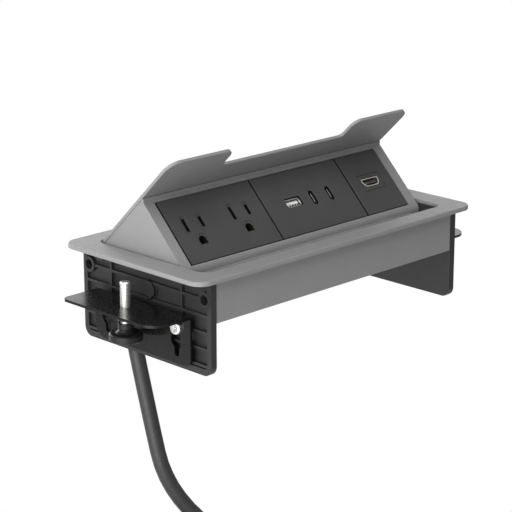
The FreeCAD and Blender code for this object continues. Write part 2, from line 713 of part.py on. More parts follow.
def clamp_screw():
    """Steel thumb screw on the right-hand side, down into its knob."""
    bar = rod_z(CLAMP_SCREW_RADIUS, CLAMP_X, 0, KNOB_BOTTOM + KNOB_DISC_HEIGHT / 3, CLAMP_TIP_Z)
    tip = [e for e in bar.Edges if e.BoundBox.ZMin > CLAMP_TIP_Z - 0.01]
    return bar.makeChamfer(CLAMP_TIP_CHAMFER, tip)


def clamp_knob():
    """Round knob with a flared neck, moulded on the clamp screw."""
    neck_top = COLLAR_TOP - COLLAR_HEIGHT - COLLAR_GAP
    disc_top = KNOB_BOTTOM + KNOB_DISC_HEIGHT
    soft = KNOB_EDGE_ROUND
    profile = [
        V(0, 0, KNOB_BOTTOM),
        V(KNOB_RADIUS - soft, 0, KNOB_BOTTOM),
        V(KNOB_RADIUS, 0, KNOB_BOTTOM + soft),
        V(KNOB_RADIUS, 0, disc_top - soft),
        V(KNOB_RADIUS - soft, 0, disc_top),
        V(KNOB_NECK_RADIUS, 0, disc_top),
    ]
    edges = [Part.LineSegment(a, b).toShape() for a, b in zip(profile, profile[1:])]
    start = profile[-1]
    end = V(KNOB_NECK_TOP_RADIUS, 0, neck_top)
    sag = V((start.x + end.x) / 2 - KNOB_NECK_SAG, 0, (start.z + end.z) / 2)
    edges.append(Part.Arc(start, sag, end).toShape())
    middle_top = V(0, 0, neck_top)
    edges.append(Part.LineSegment(end, middle_top).toShape())
    edges.append(Part.LineSegment(middle_top, profile[0]).toShape())
    knob = Part.Face(Part.Wire(edges)).revolve(V(0, 0, 0), Z_AXIS, 360)
    knob.translate(V(CLAMP_X, 0, 0))
    return knob.cut(clamp_screw())


# Tilting unit, drawn shut


def lid():
    """Lid plate with its finger notch; its rear edge is fully round."""
    w = LID_HALF_WIDTH
    n = LID_NOTCH_HALF_WIDTH
    back = LID_FRONT + LID_NOTCH_DEPTH
    rear = LID_REAR_EDGE
    corners = [
        (-w, LID_FRONT, LID_FRONT_CORNER), (-n, LID_FRONT, LID_NOTCH_OUTER_CORNER),
        (-n, back, LID_NOTCH_INNER_CORNER), (n, back, LID_NOTCH_INNER_CORNER),
        (n, LID_FRONT, LID_NOTCH_OUTER_CORNER), (w, LID_FRONT, LID_FRONT_CORNER),
        (w, rear, LID_REAR_CORNER), (-w, rear, LID_REAR_CORNER),
    ]
    plate = outline(corners, on_z(LID_UNDERSIDE)).extrude(V(0, 0, LID_THICKNESS))
    half = LID_THICKNESS / 2
    middle = LID_UNDERSIDE + half
    edge_bar = box(-w - CUT, w + CUT, rear - half, rear + CUT, LID_UNDERSIDE - CUT, LID_TOP + CUT)
    edge_bar = edge_bar.cut(rod_x(half, -w - CUT, w + CUT, rear - half, middle))
    return plate.cut(edge_bar)


def unit_outline(place):
    """Side profile of the tilting unit, shut."""
    corners = [
        (UNIT_REAR, LID_UNDERSIDE, 0),
        (FACE_FRONT - BEZEL_LIP, LID_UNDERSIDE, 0),
        (FACE_FRONT, LID_UNDERSIDE - BEZEL_CHAMFER_DROP, 0),
        (FACE_FRONT, UNIT_BOTTOM, BEAD_RADIUS),
        (UNIT_FLOOR_REAR, UNIT_BOTTOM, 0),
        (UNIT_SLANT_TOP_Y, UNIT_SLANT_TOP_Z, 0),
        (UNIT_REAR, UNIT_REAR_KNEE_Z, 0),
    ]
    return outline(corners, place)


def inside(face, wall, length):
    """Bar along X that fills a hollow section with the given wall."""
    return face.makeOffset2D(-wall, 2).extrude(V(length, 0, 0))


def unit_screw_holes(radius, x0, x1):
    """Bars where the unit's screws pass on the right-hand side."""
    return [rod_x(radius, x0, x1, y, z) for y, z in UNIT_SCREW_PLACES]


def cheek():
    """Right-hand side piece of the tilting unit, with its part of the bezel."""
    face = unit_outline(on_x(FACE_HALF_WIDTH))
    full = face.extrude(V(UNIT_HALF_WIDTH - FACE_HALF_WIDTH, 0, 0))
    body = full.cut(inside(face, CHEEK_WALL, CHEEK_INSIDE - FACE_HALF_WIDTH))
    bosses = unit_screw_holes(UNIT_BOSS_RADIUS, FACE_HALF_WIDTH, UNIT_HALF_WIDTH)
    pivot = rod_x(HINGE_BOSS_RADIUS, FACE_HALF_WIDTH, UNIT_HALF_WIDTH, HINGE_Y, HINGE_Z)
    ledge = box(FACE_HALF_WIDTH - LEDGE_WIDTH, FACE_HALF_WIDTH + LEDGE_WIDTH,
                LEDGE_FRONT, LEDGE_FRONT + LEDGE_THICKNESS,
                FACE_BOTTOM + 2 * LEDGE_WIDTH, FACE_TOP - 2 * LEDGE_WIDTH)
    tie = box(FACE_HALF_WIDTH, FACE_HALF_WIDTH + LEDGE_WIDTH, PLATE_BACK - LEDGE_CLEARANCE,
              LEDGE_FRONT + LEDGE_THICKNESS, FACE_BOTTOM + 2 * LEDGE_WIDTH, FACE_TOP - 2 * LEDGE_WIDTH)
    body = joined(body, pivot.common(full), ledge, tie, *[boss.common(full) for boss in bosses])
    near = FACE_HALF_WIDTH - CUT
    far = UNIT_HALF_WIDTH + CUT
    body = body.cut(box(near, far, FACE_FRONT - BEZEL_LIP - CUT, PLATE_BACK, FACE_TOP,
                        LID_UNDERSIDE + CUT))
    body = body.cut(rod_x(HINGE_PIN_RADIUS, near, far, HINGE_Y, HINGE_Z))
    for bar in unit_screw_holes(UNIT_SCREW_RADIUS + SCREW_CLEARANCE, near, far):
        body = body.cut(bar)
    for bar in unit_screw_holes(UNIT_HEAD_RADIUS + SCREW_CLEARANCE,
                                UNIT_HALF_WIDTH - UNIT_HEAD_THICKNESS, far):
        body = body.cut(bar)
    return body


def module_screws():
    """Four flush screws that hold the cheeks to the shell."""
    screws = []
    seat = UNIT_HALF_WIDTH - UNIT_HEAD_THICKNESS
    for y, z in UNIT_SCREW_PLACES:
        head = rod_x(UNIT_HEAD_RADIUS, seat, UNIT_HALF_WIDTH, y, z)
        shank = rod_x(UNIT_SCREW_RADIUS, FACE_HALF_WIDTH - UNIT_SCREW_LENGTH, seat, y, z)
        screws.append(joined(head, shank))
    return Part.makeCompound(screws + [mirrored(screw) for screw in screws])


def hinge_pins():
    """Two pins pressed into the cheeks that run in the end plates."""
    pin = rod_x(HINGE_PIN_RADIUS, FACE_HALF_WIDTH, END_RIM_OUTSIDE - HINGE_PIN_END_GAP, HINGE_Y, HINGE_Z)
    return Part.makeCompound([pin, mirrored(pin)])


def module_shell():
    """Extruded shell behind the face, with the round bottom bead."""
    length = 2 * FACE_HALF_WIDTH
    face = unit_outline(on_x(-FACE_HALF_WIDTH))
    outer = face.extrude(V(length, 0, 0))
    shell = outer.cut(inside(face, SHELL_WALL, length))
    front = box(-FACE_HALF_WIDTH - CUT, FACE_HALF_WIDTH + CUT, FACE_FRONT - BEZEL_LIP - CUT,
                LEDGE_FRONT, FACE_BOTTOM - PLATE_GAP / 2, LID_UNDERSIDE + CUT)
    shell = shell.cut(front)
    ledge = box(-FACE_HALF_WIDTH, FACE_HALF_WIDTH, LEDGE_FRONT, LEDGE_FRONT + LEDGE_THICKNESS,
                UNIT_BOTTOM + SHELL_WALL / 2, FACE_BOTTOM + LEDGE_WIDTH)
    shell = joined(shell, ledge)
    for side in (-1, 1):
        for y, z in UNIT_SCREW_PLACES:
            end = side * FACE_HALF_WIDTH
            start = side * (FACE_HALF_WIDTH - UNIT_SCREW_LENGTH - CUT)
            boss = rod_x(UNIT_BOSS_RADIUS, min(start, end), max(start, end), y, z)
            reach = 3 * UNIT_BOSS_RADIUS
            foot = box(min(start, end), max(start, end), y - UNIT_BOSS_RADIUS / 2,
                       y + UNIT_BOSS_RADIUS / 2, z - reach, z)
            shell = joined(shell, boss.common(outer), foot.common(outer))
            hole = rod_x(UNIT_SCREW_RADIUS + SCREW_CLEARANCE, min(start, end) - CUT,
                         max(start, end) + CUT, y, z)
            shell = shell.cut(hole)
    start, end = lead_ends()
    hole = rod(LEAD_RADIUS + LEAD_HOLE_CLEARANCE, start, end.add(end.sub(start) * 0.5))
    return shell.cut(shut(hole))


def top_bezel():
    """Full-width bar between the lid and the face plates, with its rear ledge."""
    lip = FACE_FRONT - BEZEL_LIP
    line = LID_UNDERSIDE - SHADOW_LINE_HEIGHT
    step = LID_UNDERSIDE - BEZEL_CHAMFER_DROP
    front = outline([
        (lip + SHADOW_LINE_DEPTH, LID_UNDERSIDE, 0),
        (lip + SHADOW_LINE_DEPTH, line, 0),
        (lip, line, 0),
        (FACE_FRONT - BEZEL_STEP, step, 0),
        (FACE_FRONT, step, 0),
        (FACE_FRONT, FACE_TOP, 0),
        (PLATE_BACK, FACE_TOP, 0),
        (PLATE_BACK, LID_UNDERSIDE, 0),
    ], on_x(-UNIT_HALF_WIDTH)).extrude(V(2 * UNIT_HALF_WIDTH, 0, 0))
    ledge_back = LEDGE_FRONT + LEDGE_THICKNESS
    shelf = LID_UNDERSIDE - SHELL_WALL - LEDGE_CLEARANCE
    ledge = outline([
        (PLATE_BACK, FACE_TOP, 0),
        (LEDGE_FRONT, FACE_TOP - LEDGE_WIDTH, 0),
        (ledge_back, FACE_TOP - LEDGE_WIDTH, 0),
        (ledge_back, shelf, 0),
        (PLATE_BACK, shelf, 0),
    ], on_x(-FACE_HALF_WIDTH)).extrude(V(2 * FACE_HALF_WIDTH, 0, 0))
    return joined(front, ledge)


def face_plate(x0, x1):
    """One dark face plate between two X places."""
    return box(x0, x1, FACE_FRONT, PLATE_BACK, FACE_BOTTOM, FACE_TOP - PLATE_GAP / 2)


def slot_bar(x, z, width, height, radius, y0, y1):
    """Rounded bar along Y, for slots and port openings."""
    face = rectangle(x - width / 2, x + width / 2, z - height / 2, z + height / 2, radius, on_y(y0))
    return face.extrude(V(0, y1 - y0, 0))


def earth_bar(x, z, grow, y0, y1):
    """Bar along Y with a round top and a flat bottom, for the earth hole."""
    radius = EARTH_RADIUS + grow
    bottom = z - EARTH_FLAT - grow
    low = (x - radius, y0, bottom)
    edges = [
        Part.LineSegment(V(*low), V(x + radius, y0, bottom)).toShape(),
        Part.LineSegment(V(x + radius, y0, bottom), V(x + radius, y0, z)).toShape(),
        Part.Arc(V(x + radius, y0, z), V(x, y0, z + radius), V(x - radius, y0, z)).toShape(),
        Part.LineSegment(V(x - radius, y0, z), V(*low)).toShape(),
    ]
    return Part.Face(Part.Wire(edges)).extrude(V(0, y1 - y0, 0))


def blade_places():
    """X place, slot length and side of every blade slot."""
    places = []
    for centre in OUTLET_XS:
        places.append((centre - BLADE_HALF_SPACING, NEUTRAL_SLOT_LENGTH))
        places.append((centre + BLADE_HALF_SPACING, LINE_SLOT_LENGTH))
    return places


def outlet_plate():
    """Face plate with two three-hole mains outlets."""
    plate = face_plate(-FACE_HALF_WIDTH + PLATE_GAP, PLATE_SPLIT_1 - PLATE_GAP / 2)
    z = FACE_TOP - BLADE_DROP
    floor = FACE_FRONT + RECESS_DEPTH
    for x, length in blade_places():
        wide = BLADE_SLOT_WIDTH + 2 * RECESS_MARGIN
        tall = length + 2 * RECESS_MARGIN
        plate = plate.cut(slot_bar(x, z, wide, tall, RECESS_MARGIN, FACE_FRONT - CUT, floor))
        plate = plate.cut(slot_bar(x, z, BLADE_SLOT_WIDTH, length, SLOT_CORNER,
                                   FACE_FRONT - CUT, PLATE_BACK + CUT))
    z = FACE_TOP - EARTH_DROP
    for x in OUTLET_XS:
        plate = plate.cut(earth_bar(x, z, RECESS_MARGIN, FACE_FRONT - CUT, floor))
        plate = plate.cut(earth_bar(x, z, 0, FACE_FRONT - CUT, PLATE_BACK + CUT))
    return plate


def outlet_housing():
    """Insulating block behind the outlets, with pockets for the contacts."""
    top = FACE_TOP - OUTLET_BLOCK_TOP
    left = -FACE_HALF_WIDTH + LEDGE_WIDTH + OUTLET_BLOCK_CLEARANCE
    right = PLATE_SPLIT_1 - PLATE_GAP / 2 - OUTLET_BLOCK_CLEARANCE
    block = box(left, right, PLATE_BACK, PLATE_BACK + OUTLET_BLOCK_DEPTH,
                top - OUTLET_BLOCK_HEIGHT, top)
    start = PLATE_BACK + CONTACT_START
    for x, length in blade_places():
        z = FACE_TOP - BLADE_DROP
        block = block.cut(slot_bar(x, z, BLADE_SLOT_WIDTH, length, SLOT_CORNER,
                                   PLATE_BACK - CUT, start + CUT))
        block = block.cut(contact_room(x, z, length))
    for x in OUTLET_XS:
        z = FACE_TOP - EARTH_DROP
        block = block.cut(earth_bar(x, z, 0, PLATE_BACK - CUT, start + CUT))
        block = block.cut(contact_room(x, z, 2 * EARTH_RADIUS))
    return block


def contact_room(x, z, length):
    """Pocket for one spring contact."""
    half = CONTACT_SLOT / 2 + CONTACT_WALL + CONTACT_CLEARANCE
    start = PLATE_BACK + CONTACT_START
    return box(x - half, x + half, start, start + CONTACT_DEPTH + CONTACT_CLEARANCE,
               z - length / 2 - CONTACT_CLEARANCE, z + length / 2 + CONTACT_CLEARANCE)


def contact(x, z, length):
    """Folded spring contact that grips one blade or pin."""
    half = CONTACT_SLOT / 2 + CONTACT_WALL
    start = PLATE_BACK + CONTACT_START + CONTACT_CLEARANCE
    body = box(x - half, x + half, start, start + CONTACT_DEPTH, z - length / 2, z + length / 2)
    mouth = box(x - CONTACT_SLOT / 2, x + CONTACT_SLOT / 2, start - CUT,
                start + CONTACT_DEPTH - CONTACT_WALL, z - length, z + length)
    return body.cut(mouth)


def contacts(shift, drop, length):
    """One contact in each outlet."""
    z = FACE_TOP - drop
    return Part.makeCompound([contact(x + shift, z, length) for x in OUTLET_XS])


def tube_port(x, z, width, height, radius, depth, wall):
    """Thin metal shell of a port, open at the front, closed at the back."""
    outer = slot_bar(x, z, width, height, radius, PORT_START, PORT_START + depth)
    inner = slot_bar(x, z, width - 2 * wall, height - 2 * wall, radius - wall,
                     PORT_START - CUT, PORT_START + depth - wall)
    return outer.cut(inner)


def port_a_shell():
    """Shell of the larger charging port."""
    return tube_port(PORT_A_X, FACE_TOP - PORT_A_DROP, PORT_A_WIDTH, PORT_A_HEIGHT,
                     PORT_A_CORNER, PORT_A_DEPTH, PORT_A_WALL)


def port_a_tongue():
    """Plastic tongue inside the larger charging port."""
    top = FACE_TOP - PORT_A_DROP + PORT_A_HEIGHT / 2 - PORT_A_WALL - TONGUE_A_TOP_GAP
    half = PORT_A_WIDTH / 2 - PORT_A_WALL - TONGUE_A_SIDE_GAP
    return box(PORT_A_X - half, PORT_A_X + half, PORT_START + TONGUE_A_SET_BACK,
               PORT_START + PORT_A_DEPTH - PORT_A_WALL, top - TONGUE_A_THICKNESS, top)


def port_c_shells():
    """Shells of the two small charging ports."""
    z = FACE_TOP - PORT_C_DROP
    return Part.makeCompound([tube_port(x, z, PORT_C_WIDTH, PORT_C_LENGTH, PORT_C_WIDTH / 2,
                                        PORT_C_DEPTH, PORT_C_WALL) for x in PORT_C_XS])


def port_c_tongues():
    """Tongues inside the two small charging ports."""
    z = FACE_TOP - PORT_C_DROP
    half = PORT_C_LENGTH / 2 - TONGUE_C_END_GAP
    thick = TONGUE_C_THICKNESS / 2
    tongues = []
    for x in PORT_C_XS:
        tongues.append(box(x - thick, x + thick, PORT_START + TONGUE_C_SET_BACK,
                           PORT_START + PORT_C_DEPTH - PORT_C_WALL, z - half, z + half))
    return Part.makeCompound(tongues)


def charging_plate():
    """Face plate with the three charging ports."""
    plate = face_plate(PLATE_SPLIT_1 + PLATE_GAP / 2, PLATE_SPLIT_2 - PLATE_GAP / 2)
    y0 = FACE_FRONT - CUT
    y1 = PLATE_BACK + CUT
    grow = 2 * PORT_A_CLEARANCE
    plate = plate.cut(slot_bar(PORT_A_X, FACE_TOP - PORT_A_DROP, PORT_A_WIDTH + grow,
                               PORT_A_HEIGHT + grow, PORT_A_CORNER + PORT_A_CLEARANCE, y0, y1))
    grow = 2 * PORT_CLEARANCE
    for x in PORT_C_XS:
        width = PORT_C_WIDTH + grow
        plate = plate.cut(slot_bar(x, FACE_TOP - PORT_C_DROP, width, PORT_C_LENGTH + grow,
                                   width / 2, y0, y1))
    return plate


def charging_board():
    """Circuit board that carries the charging ports, with its two posts."""
    y0 = PORT_START + PORT_A_DEPTH
    z_mid = FACE_TOP - PORT_A_DROP
    x0 = PORT_A_X - PORT_A_WIDTH / 2 - BOARD_MARGIN
    x1 = PORT_C_XS[-1] + PORT_C_WIDTH / 2 + BOARD_MARGIN
    half = PORT_C_LENGTH / 2 + BOARD_MARGIN
    board = box(x0, x1, y0, y0 + BOARD_THICKNESS, z_mid - half, z_mid + half)
    posts = []
    for x in PORT_C_XS:
        posts.append(box(x - PORT_C_WIDTH / 2, x + PORT_C_WIDTH / 2, PORT_START + PORT_C_DEPTH, y0,
                         FACE_TOP - PORT_C_DROP - PORT_C_LENGTH / 2,
                         FACE_TOP - PORT_C_DROP + PORT_C_LENGTH / 2))
    for x in (x0 + BOARD_POST_INSET, x1 - BOARD_POST_INSET):
        posts.append(rod(BOARD_POST_RADIUS, V(x, PLATE_BACK, z_mid), V(x, y0, z_mid)))
    return joined(board, *posts)


def video_outline(grow, y):
    """Six-sided mouth of the video port, wide side up."""
    z = FACE_TOP - VIDEO_DROP
    w = VIDEO_HALF_WIDTH + grow
    h = VIDEO_HALF_HEIGHT + grow
    b = VIDEO_BASE_HALF_WIDTH + grow
    knee = z - h + VIDEO_SHOULDER
    top_round = VIDEO_TOP_CORNER
    low_round = VIDEO_LOW_CORNER
    corners = [
        (VIDEO_X - w, z + h, top_round), (VIDEO_X + w, z + h, top_round),
        (VIDEO_X + w, knee, low_round), (VIDEO_X + b, z - h, low_round),
        (VIDEO_X - b, z - h, low_round), (VIDEO_X - w, knee, low_round),
    ]
    return outline(corners, on_y(y))


def video_bar(grow, y0, y1):
    """Bar along Y with the outline of the video port."""
    return video_outline(grow, y0).extrude(V(0, y1 - y0, 0))


def video_insert():
    """Snap-in carrier of the video port."""
    top = FACE_TOP - VIDEO_INSERT_DROP
    back = VIDEO_START + VIDEO_DEPTH
    block = box(VIDEO_INSERT_LEFT, VIDEO_INSERT_RIGHT, FACE_FRONT, back + VIDEO_INSERT_BACK,
                top - VIDEO_INSERT_HEIGHT, top)
    reach = VIDEO_INSERT_SHOULDER
    shoulder = box(VIDEO_INSERT_LEFT - reach, VIDEO_INSERT_RIGHT + reach, PLATE_BACK, back,
                   top - VIDEO_INSERT_HEIGHT - reach, top + reach)
    block = joined(block, shoulder)
    return block.cut(video_bar(PORT_CLEARANCE, FACE_FRONT - CUT, back))


def video_shell():
    """Bright shell of the video port."""
    back = VIDEO_START + VIDEO_DEPTH
    outer = video_bar(0, VIDEO_START, back)
    return outer.cut(video_bar(-VIDEO_WALL, VIDEO_START - CUT, back - VIDEO_WALL))


def video_tongue():
    """Tongue with the contacts inside the video port."""
    bottom = FACE_TOP - VIDEO_DROP + VIDEO_TONGUE_SHIFT - VIDEO_TONGUE_THICKNESS / 2
    return box(VIDEO_X - VIDEO_TONGUE_HALF_WIDTH, VIDEO_X + VIDEO_TONGUE_HALF_WIDTH,
               VIDEO_START + VIDEO_TONGUE_SET_BACK, VIDEO_START + VIDEO_DEPTH - VIDEO_WALL,
               bottom, bottom + VIDEO_TONGUE_THICKNESS)


def video_plate():
    """Face plate with the opening for the video insert."""
    plate = face_plate(PLATE_SPLIT_2 + PLATE_GAP / 2, FACE_HALF_WIDTH - PLATE_GAP)
    top = FACE_TOP - VIDEO_INSERT_DROP
    return plate.cut(box(VIDEO_INSERT_LEFT - PORT_CLEARANCE, VIDEO_INSERT_RIGHT + PORT_CLEARANCE,
                         FACE_FRONT - CUT, PLATE_BACK + CUT, top - VIDEO_INSERT_HEIGHT - PORT_CLEARANCE,
                         top + PORT_CLEARANCE))


# Cord clamp, strain relief and lead


def cord_clamp():
    """Block on the left end plate that grips the strain relief."""
    z = CORD_CLAMP_Z
    y = CORD_CLAMP_Y
    block = box(-WEB_INSIDE, CORD_X + CLAMP_INNER_REACH, y - CLAMP_FRONT, y + CLAMP_BACK,
                z - CLAMP_HALF_HEIGHT, z + CLAMP_HALF_HEIGHT)
    block = block.cut(rod_z(GRIP_RADIUS + GRIP_CLEARANCE, CORD_X, y, z - CLAMP_HALF_HEIGHT - CUT,
                            z + CLAMP_HALF_HEIGHT + CUT))
    block = block.cut(rod_x(CORD_SCREW_RADIUS + SCREW_CLEARANCE, -WEB_INSIDE - CUT,
                            CORD_X + CLAMP_INNER_REACH + CUT, y + CLAMP_SCREW_OFFSET, z))
    return leaning(block)


def cord_clamp_screw(grow=0.0):
    """Screw that holds the cord clamp to the end plate, or the cutter for it."""
    z = CORD_CLAMP_Z
    y = CORD_CLAMP_Y + CLAMP_SCREW_OFFSET
    face = CORD_X + CLAMP_INNER_REACH
    shank = rod_x(CORD_SCREW_RADIUS + grow, -WEB_INSIDE - CORD_SCREW_BITE - grow, face, y, z)
    head = rod_x(CORD_SCREW_HEAD_RADIUS, face, face + CORD_SCREW_HEAD_THICKNESS, y, z)
    return leaning(joined(shank, head))


def strain_relief():
    """Tapered and ringed cord guard, held in the clamp by its head."""
    y = CORD_CLAMP_Y
    top = CORD_CLAMP_Z + CLAMP_HALF_HEIGHT
    bottom = CORD_CLAMP_Z - CLAMP_HALF_HEIGHT
    head = rod_z(GRIP_HEAD_RADIUS, CORD_X, y, top, top + GRIP_HEAD_HEIGHT)
    neck = rod_z(GRIP_RADIUS, CORD_X, y, bottom - CUT, top + CUT)
    boot = Part.makeCone(GRIP_END_RADIUS, GRIP_TOP_RADIUS, GRIP_LENGTH,
                         V(CORD_X, y, bottom - GRIP_LENGTH), Z_AXIS)
    body = joined(head, neck, boot)
    pitch = GRIP_LENGTH / (GRIP_RING_COUNT + 1)
    for index in range(1, GRIP_RING_COUNT + 1):
        z = bottom - GRIP_LENGTH + index * pitch
        share = index / (GRIP_RING_COUNT + 1)
        radius = GRIP_END_RADIUS + share * (GRIP_TOP_RADIUS - GRIP_END_RADIUS) - GRIP_RING_DEPTH
        ring = rod_z(GRIP_TOP_RADIUS + CUT, CORD_X, y, z - GRIP_RING_WIDTH / 2, z + GRIP_RING_WIDTH / 2)
        ring = ring.cut(rod_z(radius, CORD_X, y, z - GRIP_RING_WIDTH, z + GRIP_RING_WIDTH))
        body = body.cut(ring)
    return leaning(body)


def lead_ends():
    """Ends of the lead at rest: on the strain relief and inside the unit's shell."""
    lean = math.radians(CORD_LEAN_DEG)
    rise = CLAMP_HALF_HEIGHT + GRIP_HEAD_HEIGHT
    start = V(CORD_X, CORD_CLAMP_Y + rise * math.sin(lean), CORD_CLAMP_Z + rise * math.cos(lean))
    end = tilted(Part.Vertex(V(LEAD_ENTRY_X, LEAD_ENTRY_Y, LEAD_ENTRY_Z))).Point
    return start, end


def inner_lead():
    """Flexible lead from the strain relief up into the tilting unit."""
    start, end = lead_ends()
    along = end.sub(start).normalize()
    return rod(LEAD_RADIUS, start.sub(along * LEAD_RADIUS), end).cut(strain_relief())


# Supply cord


def cord_tube(route, label):
    """Tube along straight runs joined by tangent arcs."""
    points = [V(*place) for place in route]
    edges = []
    last = points[0]
    for index in range(1, len(points) - 1):
        before, corner, after = points[index - 1:index + 2]
        shorter = min(corner.sub(before).Length, after.sub(corner).Length)
        turn = math.pi - before.sub(corner).getAngle(after.sub(corner))
        radius = RUN_SHARE * shorter / math.tan(turn / 2)
        print(label, "arc", index, "radius", round(radius, 1), "turn", round(math.degrees(turn), 1))
        start, middle, end = corner_cut(before, corner, after, radius)
        edges.append(Part.LineSegment(last, start).toShape())
        edges.append(Part.Arc(start, middle, end).toShape())
        last = end
    edges.append(Part.LineSegment(last, points[-1]).toShape())
    path = Part.Wire(edges)
    along = points[1].sub(points[0])
    section = Part.Wire([Part.Circle(points[0], along, CORD_RADIUS).toShape()])
    tube = path.makePipeShell([section], True, False)
    print(label, "length", round(path.Length, 1), "volume share",
          round(tube.Volume / (math.pi * CORD_RADIUS ** 2 * path.Length), 4))
    return tube


def cord_coil(cords):
    """Closed outer shape of the coiled length, clear of the cord's two ends."""
    r = COIL_MEAN_RADIUS
    inner = r - COIL_HALF_RADIAL
    outer = r + COIL_HALF_RADIAL
    wide = COIL_HALF_WIDTH
    narrow = COIL_HALF_WIDTH - COIL_SHOULDER
    knee = r + COIL_SHOULDER_START
    soft = COIL_EDGE_ROUND
    section = outline([(inner, -wide, soft), (knee, -wide, soft), (outer, -narrow, soft),
                       (outer, narrow, soft), (knee, wide, soft), (inner, wide, soft)], on_z(0))
    ring = section.revolve(V(0, 0, 0), Y_AXIS, 360)
    ring.translate(V(COIL_CENTRE_X, 0, COIL_CENTRE_Z))
    for cord in cords:
        ring = ring.cut(cord)
    return ring


def coil_tie():
    """Strap round all turns at the top of the coil."""
    top = COIL_CENTRE_Z + COIL_MEAN_RADIUS
    radial = COIL_HALF_RADIAL + TIE_SLACK
    wide = COIL_HALF_WIDTH + TIE_SLACK / 2
    x0 = COIL_CENTRE_X - TIE_WIDTH / 2
    t = TIE_THICKNESS
    outer = rectangle(-wide - t, wide + t, top - radial - t, top + radial + t, TIE_CORNER + t,
                      on_x(x0))
    inner = rectangle(-wide, wide, top - radial, top + radial, TIE_CORNER, on_x(x0))
    return outer.cut(inner).extrude(V(TIE_WIDTH, 0, 0))


def plug_frame(shape):
    """Place a plug piece drawn upright with its cord end at the origin."""
    end = V(*CORD_TAIL[-1])
    along = end.sub(V(*CORD_TAIL[-2]))
    turned = shape.copy()
    turned.Placement = FreeCAD.Placement(end, FreeCAD.Rotation(V(0, 0, -1), along))
    return turned


def plug_body():
    """Moulded body of the mains plug with its tapered neck."""
    neck = Part.makeCone(PLUG_NECK_RADIUS, PLUG_NECK_BASE_RADIUS, PLUG_NECK_LENGTH,
                         V(0, 0, 0), V(0, 0, -1))
    block = rectangle(-PLUG_HALF_WIDTH, PLUG_HALF_WIDTH, -PLUG_HALF_THICKNESS,
                      PLUG_HALF_THICKNESS + PLUG_PIN_SHIFT, PLUG_CORNER, on_z(-PLUG_LENGTH))
    block = block.extrude(V(0, 0, PLUG_LENGTH - PLUG_NECK_LENGTH))
    soft = [e for e in block.Edges if e.BoundBox.ZMin > -PLUG_NECK_LENGTH - 0.01]
    block = block.makeFillet(PLUG_SHOULDER_ROUND, soft)
    return plug_frame(joined(block, neck))


def plug_blades():
    """Two flat blades of the plug."""
    blades = []
    for side in (-1, 1):
        x = side * BLADE_HALF_SPACING
        blades.append(box(x - PLUG_BLADE_THICKNESS / 2, x + PLUG_BLADE_THICKNESS / 2,
                          -PLUG_PIN_SHIFT - PLUG_BLADE_WIDTH / 2, -PLUG_PIN_SHIFT + PLUG_BLADE_WIDTH / 2,
                          -PLUG_LENGTH - PLUG_BLADE_LENGTH, -PLUG_LENGTH))
    return plug_frame(Part.makeCompound(blades))


def plug_ground_pin():
    """Round earth pin of the plug."""
    y = PLUG_PIN_OFFSET - PLUG_PIN_SHIFT
    pin = rod_z(PLUG_PIN_RADIUS, 0, y, -PLUG_LENGTH - PLUG_PIN_LENGTH, -PLUG_LENGTH)
    tip = [e for e in pin.Edges if e.BoundBox.ZMax < -PLUG_LENGTH - PLUG_PIN_LENGTH + 0.01]
    return plug_frame(pin.makeFillet(PLUG_PIN_ROUND, tip))


def housing_parts():
    """Pieces that stay still in the desk."""
    right_plate = end_plate()
    left_plate = mirrored(right_plate).cut(cord_clamp_screw(0.02))
    bracket = clamp_bracket()
    nut = weld_nut()
    return {
        "top_frame": top_frame(),
        "front_panel": panel(-1),
        "rear_panel": panel(1),
        "end_plate_left": left_plate,
        "end_plate_right": right_plate,
        "end_plate_screws": end_plate_screws(),
        "clamp_bracket_left": mirrored(bracket),
        "clamp_bracket_right": bracket,
        "bracket_screws": bracket_screws(),
        "weld_nut_left": mirrored(nut),
        "weld_nut_right": nut,
    }


def clamp_parts():
    """Turning pieces of the two desk clamps."""
    pieces = {}
    for name, shape in (("clamp_collar", clamp_collar()), ("clamp_screw", clamp_screw()),
                        ("clamp_knob", clamp_knob())):
        pieces[name + "_left"] = mirrored(shape)
        pieces[name + "_right"] = shape
    return pieces


def unit_parts():
    """Pieces of the tilting unit, shut."""
    side = cheek()
    return {
        "lid": lid(),
        "cheek_left": mirrored(side),
        "cheek_right": side,
        "module_shell": module_shell(),
        "top_bezel": top_bezel(),
        "module_screws": module_screws(),
        "hinge_pins": hinge_pins(),
        "outlet_plate": outlet_plate(),
        "outlet_housing": outlet_housing(),
        "neutral_contacts": contacts(-BLADE_HALF_SPACING, BLADE_DROP, NEUTRAL_SLOT_LENGTH),
        "line_contacts": contacts(BLADE_HALF_SPACING, BLADE_DROP, LINE_SLOT_LENGTH),
        "ground_contacts": contacts(0, EARTH_DROP, 2 * EARTH_RADIUS),
        "charging_plate": charging_plate(),
        "port_a_shell": port_a_shell(),
        "port_a_tongue": port_a_tongue(),
        "port_c_shells": port_c_shells(),
        "port_c_tongues": port_c_tongues(),
        "charging_board": charging_board(),
        "video_plate": video_plate(),
        "video_insert": video_insert(),
        "video_shell": video_shell(),
        "video_tongue": video_tongue(),
    }


def cord_parts():
    """Cord clamp, strain relief, lead, supply cord and plug."""
    tube = cord_tube(CORD_ROUTE, "supply_cord")
    tail = cord_tube(CORD_TAIL, "cord_tail")
    return {
        "cord_clamp": cord_clamp(),
        "cord_clamp_screw": cord_clamp_screw(),
        "strain_relief": strain_relief(),
        "inner_lead": inner_lead(),
        "supply_cord": tube,
        "cord_tail": tail,
        "cord_coil": cord_coil([tube, tail]),
        "coil_tie": coil_tie(),
        "plug_body": plug_body(),
        "plug_blades": plug_blades(),
        "plug_ground_pin": plug_ground_pin(),
    }


